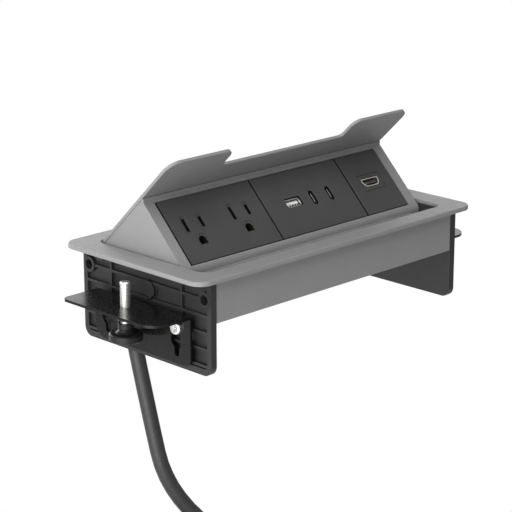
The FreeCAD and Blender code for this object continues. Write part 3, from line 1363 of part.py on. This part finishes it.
def main():
    """Build every piece and write one file for each."""
    os.makedirs("parts", exist_ok=True)
    pieces = housing_parts()
    pieces.update(clamp_parts())
    pieces.update({name: tilted(shape) for name, shape in unit_parts().items()})
    pieces.update(cord_parts())
    for name, shape in pieces.items():
        state = "ok" if shape.isValid() else "INVALID"
        print(name, state, "solids", len(shape.Solids), "volume", round(shape.Volume, 1))
        shape.exportStep("parts/" + name + ".step")


main()
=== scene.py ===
"""In-desk power module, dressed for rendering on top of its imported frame."""
import json
import math

import bmesh
import bpy
from mathutils import Matrix, Vector


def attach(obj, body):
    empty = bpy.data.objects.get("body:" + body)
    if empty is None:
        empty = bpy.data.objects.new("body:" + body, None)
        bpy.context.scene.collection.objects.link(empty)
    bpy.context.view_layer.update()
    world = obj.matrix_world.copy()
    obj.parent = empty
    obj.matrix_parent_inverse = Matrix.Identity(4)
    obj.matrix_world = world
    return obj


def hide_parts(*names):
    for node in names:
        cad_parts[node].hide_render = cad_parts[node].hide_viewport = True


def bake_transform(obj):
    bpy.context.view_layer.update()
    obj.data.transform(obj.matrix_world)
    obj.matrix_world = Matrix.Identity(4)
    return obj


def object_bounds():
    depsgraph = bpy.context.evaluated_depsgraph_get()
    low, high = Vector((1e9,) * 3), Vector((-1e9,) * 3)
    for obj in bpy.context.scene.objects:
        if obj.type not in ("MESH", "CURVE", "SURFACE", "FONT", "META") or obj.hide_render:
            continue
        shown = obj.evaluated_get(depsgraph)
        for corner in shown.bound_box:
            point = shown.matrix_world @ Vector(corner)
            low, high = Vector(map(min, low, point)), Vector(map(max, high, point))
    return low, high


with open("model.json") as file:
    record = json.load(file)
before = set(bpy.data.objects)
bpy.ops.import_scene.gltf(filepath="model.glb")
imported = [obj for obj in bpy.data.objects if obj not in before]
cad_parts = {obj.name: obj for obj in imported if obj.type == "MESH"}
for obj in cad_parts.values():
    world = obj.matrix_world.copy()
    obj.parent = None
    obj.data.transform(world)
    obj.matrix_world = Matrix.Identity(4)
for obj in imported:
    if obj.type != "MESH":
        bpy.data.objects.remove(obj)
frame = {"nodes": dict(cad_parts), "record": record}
cad_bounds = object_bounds()

MM = 0.001
RECORD = frame["record"]
BODY_OF = {node: body for body, nodes in RECORD["behaviour"]["bodies"].items() for node in nodes}
SLOT_OF = {part["node"]: part["material_slot"] for part in RECORD["subparts"]}

# Camera at the photo's viewpoint
CAMERA_PLACE = (-0.81463, -0.79577, 0.32147)
CAMERA_TURN_DEG = (73.36, 0.0, -45.08)
CAMERA_LENS = 134.9
CAMERA_SENSOR = 36.0

# Studio: lights with name, angle round the part and angle up in degrees, power in watts
LIGHT_DISTANCE = 1.1
LIGHT_SIZE = 1.0
LIGHTS = (
    ("left_low", -180.0, 15.0, 6.6),
    ("left_near", -157.0, 7.0, 11.9),
    ("front_top", -90.0, 70.0, 9.0),
    ("right_low", 45.0, 15.0, 3.5),
    ("rear_low", 90.0, 15.0, 10.8),
)
WORLD_AS_LIGHT = 0.02
WORLD_REFLECTED = 0.55
WORLD_SEEN = 1.0
FLOOR_HALF_WIDTH = 3.0
FLOOR_GAP = 0.002
FLOOR_SHADE = 0.8
FLOOR_ROUGHNESS = 0.9

# Supply cord, in millimetres: as in the part's source, but for the places that join the coil
CORD_DIAMETER = 9.6
CORD_ROUTE = (
    (-87.5, 33.33, -62.29), (-87.5, 20.93, -105.55), (-86.0, 8.0, -152.0),
    (-46.0, -8.0, -198.0), (-44.5, -9.6, -246.0),
)
CORD_TAIL = ((-44.5, 9.6, -246.0), (-39.6, 11.4, -276.0), (-36.9, 12.2, -304.0))
COIL_CENTRE = (-90.0, -246.0)
COIL_MEAN_RADIUS = 49.6
COIL_POINTS_PER_TURN = 24

# Turns of the coil: inner (-1) or outer (1) layer, and place along the coil's axis
COIL_LAYER = 4.2
COIL_TURNS = ((-1, -9.6), (-1, 0.0), (1, -4.8), (1, 4.8), (-1, 9.6))

# Points of a turn where the cord starts to cross to the next turn, and how many it takes
COIL_CROSSING_START = 3
COIL_CROSSING_POINTS = 4

# Lead between the housing and the tilting unit, with the points where its bend starts and ends
LEAD_DIAMETER = 7.2
LEAD_ROUTE = (
    (-87.5, 42.4, -31.0), (-87.5, 42.0, -24.0), (-83.5, 36.0, -19.0),
    (-77.5, 28.0, -17.0), (-74.5, 22.8, -14.8), (-72.5, 17.0, -10.0),
)

# Splines of the cord and the lead; the facets are widened to the round they stand for
SPLINE_ORDER = 3
SPLINE_STEPS = 6
SPLINE_ROUNDING = 5
ROUND_OF_FACETS = 1.015

# Clearing of the triangulation: weld distance in metres, and up to which angle faces are joined
WELD_DISTANCE = 0.000002
FLAT_ANGLE_DEG = 0.4

# Softening of the modelled edges, in millimetres
EDGE_SEGMENTS = 2
EDGE_ANGLE_DEG = 28.0
EDGE_WIDTH = {
    "top_frame": 0.55, "front_panel": 0.3, "rear_panel": 0.3, "lid": 0.35,
    "cheek_left": 0.3, "cheek_right": 0.3, "top_bezel": 0.25, "module_shell": 0.2,
    "end_plate_left": 0.22, "end_plate_right": 0.22,
    "clamp_bracket_left": 0.25, "clamp_bracket_right": 0.25,
    "outlet_plate": 0.12, "charging_plate": 0.12, "video_plate": 0.12, "video_insert": 0.12,
    "plug_body": 0.5, "cord_clamp": 0.4, "strain_relief": 0.25,
    "clamp_knob_left": 0.15, "clamp_knob_right": 0.15,
}
EDGE_WIDTH_ELSEWHERE = 0.1

# Tilt from open to shut, and the hinge line's place in millimetres
TILT_DEG = 44.4
HINGE_PLACE = (0.0, 40.87, -2.7)

# Places of the tilting unit painted with shade: corners of boxes in millimetres, for the shut
# unit. The ledges behind the face plates are painted dark as shade, and so are a plate's own walls
# from its wall front on and part of the wide port's shell. The two lines are seams along the top
# bezel, painted darker as shadow lines.
LEDGES_LOW = (-99.0, -7.85, -48.7)
LEDGES_HIGH = (99.0, -5.8, -2.7)
WIDE_PORT_LOW = (-5.0, -10.0, -29.0)
WIDE_PORT_HIGH = (16.0, 1.0, -26.4)
LID_LINE_LOW = (-104.0, -11.7, 0.45)
LID_LINE_HIGH = (104.0, -10.5, 0.85)
BAND_LINE_LOW = (-104.0, -10.25, -1.15)
BAND_LINE_HIGH = (104.0, -9.7, -0.8)
LEDGE_NODES = ("cheek_left", "cheek_right", "top_bezel", "module_shell")
PLATE_WALL_FRONT = {"outlet_plate": -9.2, "charging_plate": -9.6, "video_plate": -9.6}

# Contacts in the ports, in millimetres, for the shut unit: name, places across, width,
# from and to in depth, from and to in height, material
CONTACT_ROWS = (
    ("wide", (1.8, 4.1, 6.5, 8.8), 1.1, (-7.5, -1.1), (-26.44, -25.42), "satin_metal"),
    ("narrow", (22.3, 37.1), 0.3, (-9.2, -7.9), (-28.3, -22.2), "port_metal"),
    ("video", [71.9 + step for step in range(10)], 0.56, (-8.6, -3.55), (-25.31, -25.17),
     "satin_metal"),
)

# CAD nodes that are drawn otherwise than as a softened copy
MADE_OTHERWISE = {"supply_cord", "cord_coil", "cord_tail", "inner_lead"}

# CAD nodes with another material than that of their slot
SPECIAL_MATERIAL = {
    "port_a_tongue": "light_tongue", "outlet_housing": "deep_black", "port_c_shells": "port_shade",
    "port_c_tongues": "deep_black", "video_shell": "satin_metal",
    "clamp_screw_left": "turned_steel", "clamp_screw_right": "turned_steel",
    "clamp_knob_left": "knob_gloss", "clamp_knob_right": "knob_gloss",
    "clamp_collar_left": "knob_gloss", "clamp_collar_right": "knob_gloss",
}

# Textures: features per metre, bump heights in metres, shares of the plain value
TEXTURE_LOW = 0.3
TEXTURE_HIGH = 0.7
MOTTLE_SCALE = 55.0
GLOSS_SCALE_SHARE = 0.35
GLOSS_SHARES = (0.88, 1.12)
CLOUD_SCALE = 260.0
CLOUD_DEPTH = 0.00001
WEAR_SCALE = 2600.0
WEAR_SHARES = (0.75, 1.3)
RING_SCALE = 160.0
RING_DISTORTION = 0.4
RING_DULLNESS = 0.94
RING_SHARES = (0.95, 1.05)
RING_DEPTH = 0.0000005
WEAVE_SCALE = 420.0
WEAVE_DISTORTION = 2.0
WEAVE_BRIGHTNESS = 2.2
WEAVE_DEPTH = 0.00025
WEAVE_ROUGHNESS = 0.9
WEAVE_SHEEN = 0.3
FUZZ_SCALE = 5200.0
FUZZ_DEPTH = 0.0001
BOARD_SCALE = 260.0
BOARD_RUN_WIDTH = 0.03
BOARD_DEPTH = 0.00003
BOARD_GRAIN = 900.0
BOARD_ROUGHNESS = (0.3, 0.45)
BOARD_COLOURS = {
    "Color1": (0.012, 0.09, 0.035), "Color2": (0.014, 0.105, 0.04), "Mortar": (0.05, 0.2, 0.07),
}


def mm(point):
    """A point or size in millimetres, in metres."""
    return tuple(value * MM for value in point)


def add_object(name, data):
    """New object in the scene with this data."""
    piece = bpy.data.objects.new(name, data)
    bpy.context.scene.collection.objects.link(piece)
    return piece


def apply_modifiers(piece):
    """Works the piece's modifiers into its mesh."""
    graph = bpy.context.evaluated_depsgraph_get()
    graph.update()
    mesh = bpy.data.meshes.new_from_object(
        piece.evaluated_get(graph), preserve_all_data_layers=True, depsgraph=graph)
    piece.modifiers.clear()
    piece.data = mesh


def about_hinge(point, degrees):
    """A point in millimetres, turned about the hinge of the tilting unit."""
    hinge = Vector(HINGE_PLACE)
    return Matrix.Rotation(math.radians(degrees), 3, "X") @ (point - hinge) + hinge


# Materials

def new_material(name):
    """Material with an empty principled surface, its nodes and its links."""
    material = bpy.data.materials.new(name)
    material.use_nodes = True
    nodes = material.node_tree.nodes
    return material, nodes, material.node_tree.links, nodes["Principled BSDF"]


def object_place(nodes):
    """Output with the place on the piece, in metres."""
    return nodes.new("ShaderNodeTexCoord").outputs["Object"]


def noise(nodes, links, place, scale, detail=2.0, roughness=0.5):
    """Noise with this many features per metre."""
    node = nodes.new("ShaderNodeTexNoise")
    node.inputs["Scale"].default_value = scale
    node.inputs["Detail"].default_value = detail
    node.inputs["Roughness"].default_value = roughness
    links.new(place, node.inputs["Vector"])
    return node.outputs["Fac"]


def spread(nodes, links, value, low, high):
    """Maps a texture's usual range to another range."""
    node = nodes.new("ShaderNodeMapRange")
    node.inputs["From Min"].default_value = TEXTURE_LOW
    node.inputs["From Max"].default_value = TEXTURE_HIGH
    node.inputs["To Min"].default_value = low
    node.inputs["To Max"].default_value = high
    links.new(value, node.inputs["Value"])
    return node.outputs["Result"]


def blend_colours(nodes, links, factor, first, second):
    """Colour that goes from the first to the second with the factor."""
    node = nodes.new("ShaderNodeMix")
    node.data_type = "RGBA"
    node.inputs["A"].default_value = (*first, 1.0)
    node.inputs["B"].default_value = (*second, 1.0)
    links.new(factor, node.inputs["Factor"])
    return node.outputs["Result"]


def wave(nodes, links, place, direction, scale, distortion):
    """Bands across this direction."""
    node = nodes.new("ShaderNodeTexWave")
    node.bands_direction = direction
    node.inputs["Scale"].default_value = scale
    node.inputs["Distortion"].default_value = distortion
    links.new(place, node.inputs["Vector"])
    return node.outputs["Fac"]


def bump(nodes, links, height, distance, under=None):
    """Bumps of this height in metres, on top of those under them."""
    node = nodes.new("ShaderNodeBump")
    node.inputs["Distance"].default_value = distance
    node.inputs["Strength"].default_value = 1.0
    links.new(height, node.inputs["Height"])
    if under is not None:
        links.new(under, node.inputs["Normal"])
    return node.outputs["Normal"]


def coated(name, colour, roughness, grain, depth, mottle=0.06, specular=0.5):
    """Painted or moulded surface with a fine grain and slightly uneven gloss."""
    material, nodes, links, surface = new_material(name)
    place = object_place(nodes)
    broad = noise(nodes, links, place, MOTTLE_SCALE, 3.0)
    darker = tuple(value * (1 - mottle) for value in colour)
    lighter = tuple(value * (1 + mottle) for value in colour)
    links.new(blend_colours(nodes, links, spread(nodes, links, broad, 0, 1), darker, lighter),
              surface.inputs["Base Color"])
    fine = noise(nodes, links, place, grain, 3.0, 0.6)
    gloss = noise(nodes, links, place, grain * GLOSS_SCALE_SHARE)
    links.new(spread(nodes, links, gloss, *[roughness * share for share in GLOSS_SHARES]),
              surface.inputs["Roughness"])
    links.new(bump(nodes, links, fine, depth), surface.inputs["Normal"])
    surface.inputs["Specular IOR Level"].default_value = specular
    return material


def plated(name, colour, roughness, stain=0.12):
    """Metal with fine wear and faint cloudy staining."""
    material, nodes, links, surface = new_material(name)
    place = object_place(nodes)
    cloud = noise(nodes, links, place, CLOUD_SCALE, 4.0, 0.6)
    dull = tuple(value * (1 - stain) for value in colour)
    links.new(blend_colours(nodes, links, spread(nodes, links, cloud, 0, 1), dull, colour),
              surface.inputs["Base Color"])
    surface.inputs["Metallic"].default_value = 1.0
    fine = noise(nodes, links, place, WEAR_SCALE, 3.0)
    links.new(spread(nodes, links, fine, *[roughness * share for share in WEAR_SHARES]),
              surface.inputs["Roughness"])
    links.new(bump(nodes, links, cloud, CLOUD_DEPTH), surface.inputs["Normal"])
    return material


def turned(name, colour, roughness):
    """Bright turned metal with faint rings round an upright axis."""
    material, nodes, links, surface = new_material(name)
    rings = wave(nodes, links, object_place(nodes), "Z", RING_SCALE, RING_DISTORTION)
    dull = tuple(value * RING_DULLNESS for value in colour)
    links.new(blend_colours(nodes, links, rings, dull, colour), surface.inputs["Base Color"])
    surface.inputs["Metallic"].default_value = 1.0
    links.new(spread(nodes, links, rings, *[roughness * share for share in RING_SHARES]),
              surface.inputs["Roughness"])
    links.new(bump(nodes, links, rings, RING_DEPTH), surface.inputs["Normal"])
    return material


def woven(name, colour):
    """Hook-and-loop strap: fuzzy weave in two directions."""
    material, nodes, links, surface = new_material(name)
    place = object_place(nodes)
    both = nodes.new("ShaderNodeMath")
    both.operation = "MAXIMUM"
    for number, direction in enumerate(("X", "Y")):
        links.new(wave(nodes, links, place, direction, WEAVE_SCALE, WEAVE_DISTORTION),
                  both.inputs[number])
    bright = tuple(value * WEAVE_BRIGHTNESS for value in colour)
    links.new(blend_colours(nodes, links, both.outputs["Value"], colour, bright),
              surface.inputs["Base Color"])
    fuzz = noise(nodes, links, place, FUZZ_SCALE, 3.0)
    under = bump(nodes, links, both.outputs["Value"], WEAVE_DEPTH)
    links.new(bump(nodes, links, fuzz, FUZZ_DEPTH, under), surface.inputs["Normal"])
    surface.inputs["Roughness"].default_value = WEAVE_ROUGHNESS
    surface.inputs["Sheen Weight"].default_value = WEAVE_SHEEN
    return material


def board_material(name):
    """Green circuit board with paler lines where its runs are."""
    material, nodes, links, surface = new_material(name)
    place = object_place(nodes)
    cells = nodes.new("ShaderNodeTexBrick")
    cells.inputs["Scale"].default_value = BOARD_SCALE
    cells.inputs["Mortar Size"].default_value = BOARD_RUN_WIDTH
    for socket, colour in BOARD_COLOURS.items():
        cells.inputs[socket].default_value = (*colour, 1.0)
    links.new(place, cells.inputs["Vector"])
    links.new(cells.outputs["Color"], surface.inputs["Base Color"])
    fine = noise(nodes, links, place, BOARD_GRAIN)
    links.new(spread(nodes, links, fine, *BOARD_ROUGHNESS), surface.inputs["Roughness"])
    links.new(bump(nodes, links, cells.outputs["Fac"], BOARD_DEPTH), surface.inputs["Normal"])
    return material


# Coated: colour, roughness, grains per metre, bump height in metres, mottle, specular level.
# Plated: colour, roughness, stain. Turned: colour, roughness. Woven: colour.
FINISHES = {
    "grey_paint": (coated, (0.235, 0.235, 0.235), 0.56, 1500.0, 0.000003, 0.02, 0.35),
    "black_moulding": (coated, (0.016, 0.016, 0.016), 0.42, 2600.0, 0.00002),
    "black_steel": (coated, (0.005, 0.005, 0.005), 0.26, 700.0, 0.000001, 0.04, 0.3),
    "knob_gloss": (coated, (0.011, 0.011, 0.011), 0.42, 900.0, 0.000001, 0.04, 0.3),
    # deep_black is also laid as painted shade on the unit's ledges, plate walls, wide port shell
    # and lid line
    "deep_black": (coated, (0.004, 0.004, 0.004), 0.6, 2600.0, 0.00001, 0.1, 0.2),
    "port_shade": (plated, (0.07, 0.068, 0.064), 0.4, 0.25),
    "turned_steel": (turned, (0.84, 0.84, 0.83), 0.42),
    "bright_steel": (plated, (0.90, 0.90, 0.89), 0.3, 0.05),
    "face_plastic": (coated, (0.062, 0.062, 0.062), 0.8, 3600.0, 0.00002, 0.04, 0.2),
    "port_metal": (plated, (0.84, 0.83, 0.80), 0.18),
    "satin_metal": (plated, (0.62, 0.61, 0.58), 0.36, 0.15),
    "port_plastic": (coated, (0.02, 0.02, 0.02), 0.4, 2600.0, 0.00001),
    "light_tongue": (coated, (0.78, 0.78, 0.76), 0.4, 2600.0, 0.00001),
    "contact_brass": (plated, (0.76, 0.56, 0.28), 0.28, 0.3),
    "board": (board_material,),
    "cord_jacket": (coated, (0.022, 0.022, 0.022), 0.5, 1900.0, 0.000006, 0.12),
    "tie_fabric": (woven, (0.012, 0.012, 0.012)),
}
MATERIALS = {name: make(name, *values) for name, (make, *values) in FINISHES.items()}


def finish_piece(piece, slot, body, material=None):
    """Gives a new piece its body and its material, which is the one named like its slot unless
    another is given.
    """
    piece.data.materials.clear()
    piece.data.materials.append(MATERIALS[material or slot])
    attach(piece, body)
    return piece


# Softened copies of the CAD nodes

def clean_copy(node):
    """The node's mesh without its triangulation, as plain faces."""
    bm = bmesh.new()
    bm.from_mesh(frame["nodes"][node].data)
    bmesh.ops.remove_doubles(bm, verts=bm.verts, dist=WELD_DISTANCE)
    bmesh.ops.dissolve_limit(bm, angle_limit=math.radians(FLAT_ANGLE_DEG), verts=bm.verts,
                             edges=bm.edges, use_dissolve_boundaries=False)
    bm.verts.index_update()
    points = [vertex.co.copy() for vertex in bm.verts]
    faces = [[vertex.index for vertex in face.verts] for face in bm.faces]
    bm.free()
    mesh = bpy.data.meshes.new(node + "_soft")
    mesh.from_pydata(points, [], faces)
    mesh.shade_smooth()
    return mesh


def paint_shade_within(piece, low, high, material="deep_black"):
    """Painted shade: a darker material on the faces in this box, given for the shut unit in
    millimetres.
    """
    finishes = piece.data.materials
    if material not in finishes:
        finishes.append(MATERIALS[material])
    for face in piece.data.polygons:
        middle = about_hinge(face.center / MM, TILT_DEG)
        if all(a < value < b for a, value, b in zip(low, middle, high)):
            face.material_index = finishes.find(material)


def softened(node, material=None):
    """Piece that stands for the node, with its edges rounded as the real ones are."""
    piece = add_object(node + "_soft", clean_copy(node))
    bevel = piece.modifiers.new("edges", "BEVEL")
    bevel.width = EDGE_WIDTH.get(node, EDGE_WIDTH_ELSEWHERE) * MM
    bevel.segments = EDGE_SEGMENTS
    bevel.limit_method = "ANGLE"
    bevel.angle_limit = math.radians(EDGE_ANGLE_DEG)
    bevel.miter_outer = "MITER_ARC"
    weights = piece.modifiers.new("normals", "WEIGHTED_NORMAL")
    weights.keep_sharp = True
    apply_modifiers(piece)
    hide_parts(node)
    return finish_piece(piece, SLOT_OF[node], BODY_OF[node], material)


# Supply cord

def crossing_share(step):
    """How far the cord has crossed to its next place, from 0 to 1."""
    share = (step - COIL_CROSSING_START) / COIL_CROSSING_POINTS
    share = min(max(share, 0.0), 1.0)
    return share * share * (3 - 2 * share)


def coil_points():
    """Turns of the coil: three side by side, and two on them."""
    points = []
    # The spline touches the middles of its polygon's sides, so the corners lie further out
    reach = 1 / math.cos(math.pi / COIL_POINTS_PER_TURN)
    last = len(COIL_TURNS) - 1
    for turn, (layer, across) in enumerate(COIL_TURNS):
        next_layer, next_across = COIL_TURNS[min(turn + 1, last)]
        # Later turns cross first, so that each finds its next place empty
        delay = (last - 1 - turn) * COIL_CROSSING_POINTS
        for step in range(COIL_POINTS_PER_TURN):
            share = crossing_share(step - delay)
            radius = COIL_MEAN_RADIUS + COIL_LAYER * (layer + (next_layer - layer) * share)
            y = across + (next_across - across) * share
            angle = -2 * math.pi * (step + 0.5) / COIL_POINTS_PER_TURN
            points.append((COIL_CENTRE[0] + radius * reach * math.cos(angle), y,
                           COIL_CENTRE[1] + radius * reach * math.sin(angle)))
    return points


def nurbs(name, points, diameter):
    """Round cord along one smooth spline, with the points in millimetres."""
    curve = bpy.data.curves.new(name, "CURVE")
    curve.dimensions = "3D"
    spline = curve.splines.new("NURBS")
    spline.points.add(len(points) - 1)
    for point, place in zip(spline.points, points):
        point.co = (*mm(place), 1.0)
    spline.order_u = SPLINE_ORDER
    spline.use_endpoint_u = True
    spline.resolution_u = SPLINE_STEPS
    curve.bevel_depth = diameter / 2 * MM * ROUND_OF_FACETS
    curve.bevel_resolution = SPLINE_ROUNDING
    curve.use_fill_caps = True
    return add_object(name, curve)


def supply_cord():
    """The cord from the strain relief through its coil to the plug."""
    cord = nurbs("supply_cord_run", [*CORD_ROUTE, *coil_points(), *CORD_TAIL], CORD_DIAMETER)
    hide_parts("supply_cord", "cord_coil", "cord_tail")
    return finish_piece(cord, "cord_jacket", "housing")


# Contacts in the ports

def unit_block(name, low, high, material):
    """Small block of the tilting unit, given shut in millimetres and placed at rest."""
    bm = bmesh.new()
    bmesh.ops.create_cube(bm, size=1.0)
    middle = [(a + b) / 2 for a, b in zip(low, high)]
    size = [b - a for a, b in zip(low, high)]
    for vertex in bm.verts:
        shut = Vector([m + s * c for m, s, c in zip(middle, size, vertex.co)])
        vertex.co = about_hinge(shut, -TILT_DEG) * MM
    mesh = bpy.data.meshes.new(name)
    bm.to_mesh(mesh)
    bm.free()
    finish_piece(add_object(name, mesh), "contact_brass", "module", material)


def port_contacts():
    """Contacts on the tongues of the charging ports and of the video port."""
    for kind, places, width, depths, heights, material in CONTACT_ROWS:
        for index, x in enumerate(places):
            low, high = zip((x - width / 2, x + width / 2), depths, heights)
            unit_block("%s_contact_%d" % (kind, index), low, high, material)


# Lead between the housing and the tilting unit

def inner_lead():
    """Lead between the housing and the tilting unit, as one fixed tube that is not attached to a
    body.
    """
    lead = nurbs("inner_lead_run", LEAD_ROUTE, LEAD_DIAMETER)
    graph = bpy.context.evaluated_depsgraph_get()
    mesh = bpy.data.meshes.new_from_object(lead.evaluated_get(graph))
    bpy.data.objects.remove(lead)
    mesh.shade_smooth()
    piece = add_object("inner_lead_tube", mesh)
    piece.data.materials.append(MATERIALS["cord_jacket"])
    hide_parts("inner_lead")
    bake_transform(piece)


# Stage

def add_camera():
    """Camera at the photo's viewpoint."""
    camera = bpy.data.cameras.new("camera")
    camera.lens = CAMERA_LENS
    camera.sensor_width = CAMERA_SENSOR
    holder = add_object("camera", camera)
    holder.location = CAMERA_PLACE
    holder.rotation_euler = [math.radians(value) for value in CAMERA_TURN_DEG]
    bpy.context.scene.camera = holder


def add_light(name, around_deg, up_deg, power):
    """Soft square light on a sphere about the origin, aimed at it."""
    light = bpy.data.lights.new(name, "AREA")
    light.size = LIGHT_SIZE
    light.energy = power
    holder = add_object(name, light)
    around = math.radians(around_deg)
    up = math.radians(up_deg)
    place = Vector((math.cos(up) * math.cos(around), math.cos(up) * math.sin(around),
                    math.sin(up))) * LIGHT_DISTANCE
    holder.location = place
    holder.rotation_euler = (-place).to_track_quat("-Z", "Y").to_euler()


def add_world():
    """White backdrop for the camera, a pale one for reflections and a faint glow as a light."""
    world = bpy.data.worlds.new("studio")
    bpy.context.scene.world = world
    world.use_nodes = True
    nodes = world.node_tree.nodes
    links = world.node_tree.links
    nodes.clear()
    ray = nodes.new("ShaderNodeLightPath")
    shades = []
    for strength in (WORLD_AS_LIGHT, WORLD_REFLECTED, WORLD_SEEN):
        shade = nodes.new("ShaderNodeBackground")
        shade.inputs["Color"].default_value = (1.0, 1.0, 1.0, 1.0)
        shade.inputs["Strength"].default_value = strength
        shades.append(shade.outputs["Background"])
    result = shades[0]
    for kind, shade in zip(("Is Glossy Ray", "Is Camera Ray"), shades[1:]):
        mix = nodes.new("ShaderNodeMixShader")
        links.new(ray.outputs[kind], mix.inputs["Fac"])
        links.new(result, mix.inputs[1])
        links.new(shade, mix.inputs[2])
        result = mix.outputs["Shader"]
    links.new(result, nodes.new("ShaderNodeOutputWorld").inputs["Surface"])


def add_floor(height):
    """Plain pale floor just under the part's lowest point, white to the camera."""
    mesh = bpy.data.meshes.new("floor")
    corners = [(x * FLOOR_HALF_WIDTH, y * FLOOR_HALF_WIDTH, height)
               for x, y in ((-1, -1), (1, -1), (1, 1), (-1, 1))]
    mesh.from_pydata(corners, [], [(0, 1, 2, 3)])
    floor = add_object("floor", mesh)
    material, nodes, links, surface = new_material("floor")
    surface.inputs["Base Color"].default_value = (FLOOR_SHADE, FLOOR_SHADE, FLOOR_SHADE, 1.0)
    surface.inputs["Roughness"].default_value = FLOOR_ROUGHNESS
    glow = nodes.new("ShaderNodeEmission")
    mix = nodes.new("ShaderNodeMixShader")
    ray = nodes.new("ShaderNodeLightPath")
    links.new(ray.outputs["Is Camera Ray"], mix.inputs["Fac"])
    links.new(surface.outputs["BSDF"], mix.inputs[1])
    links.new(glow.outputs["Emission"], mix.inputs[2])
    links.new(mix.outputs["Shader"], nodes["Material Output"].inputs["Surface"])
    mesh.materials.append(material)


add_camera()
add_world()
add_floor(cad_bounds[0][2] - FLOOR_GAP)
for name, around, up, power in LIGHTS:
    add_light(name, around, up, power)

cord = supply_cord()
inner_lead()
port_contacts()
soft = {}
for node in sorted(frame["nodes"]):
    if node not in MADE_OTHERWISE:
        soft[node] = softened(node, SPECIAL_MATERIAL.get(node))
# Painted shade on the unit: near-black on the ledges, the plate walls and part of the wide port's
# shell, a near-black shadow line under the lid and a darker line at the bezel's step
for node in LEDGE_NODES:
    paint_shade_within(soft[node], LEDGES_LOW, LEDGES_HIGH)
for node, front in PLATE_WALL_FRONT.items():
    paint_shade_within(soft[node], (LEDGES_LOW[0], front, LEDGES_LOW[2]), LEDGES_HIGH)
paint_shade_within(soft["port_a_shell"], WIDE_PORT_LOW, WIDE_PORT_HIGH)
paint_shade_within(soft["top_bezel"], LID_LINE_LOW, LID_LINE_HIGH)
paint_shade_within(soft["top_bezel"], BAND_LINE_LOW, BAND_LINE_HIGH, "face_plastic")

bpy.context.scene.view_settings.view_transform = "Standard"
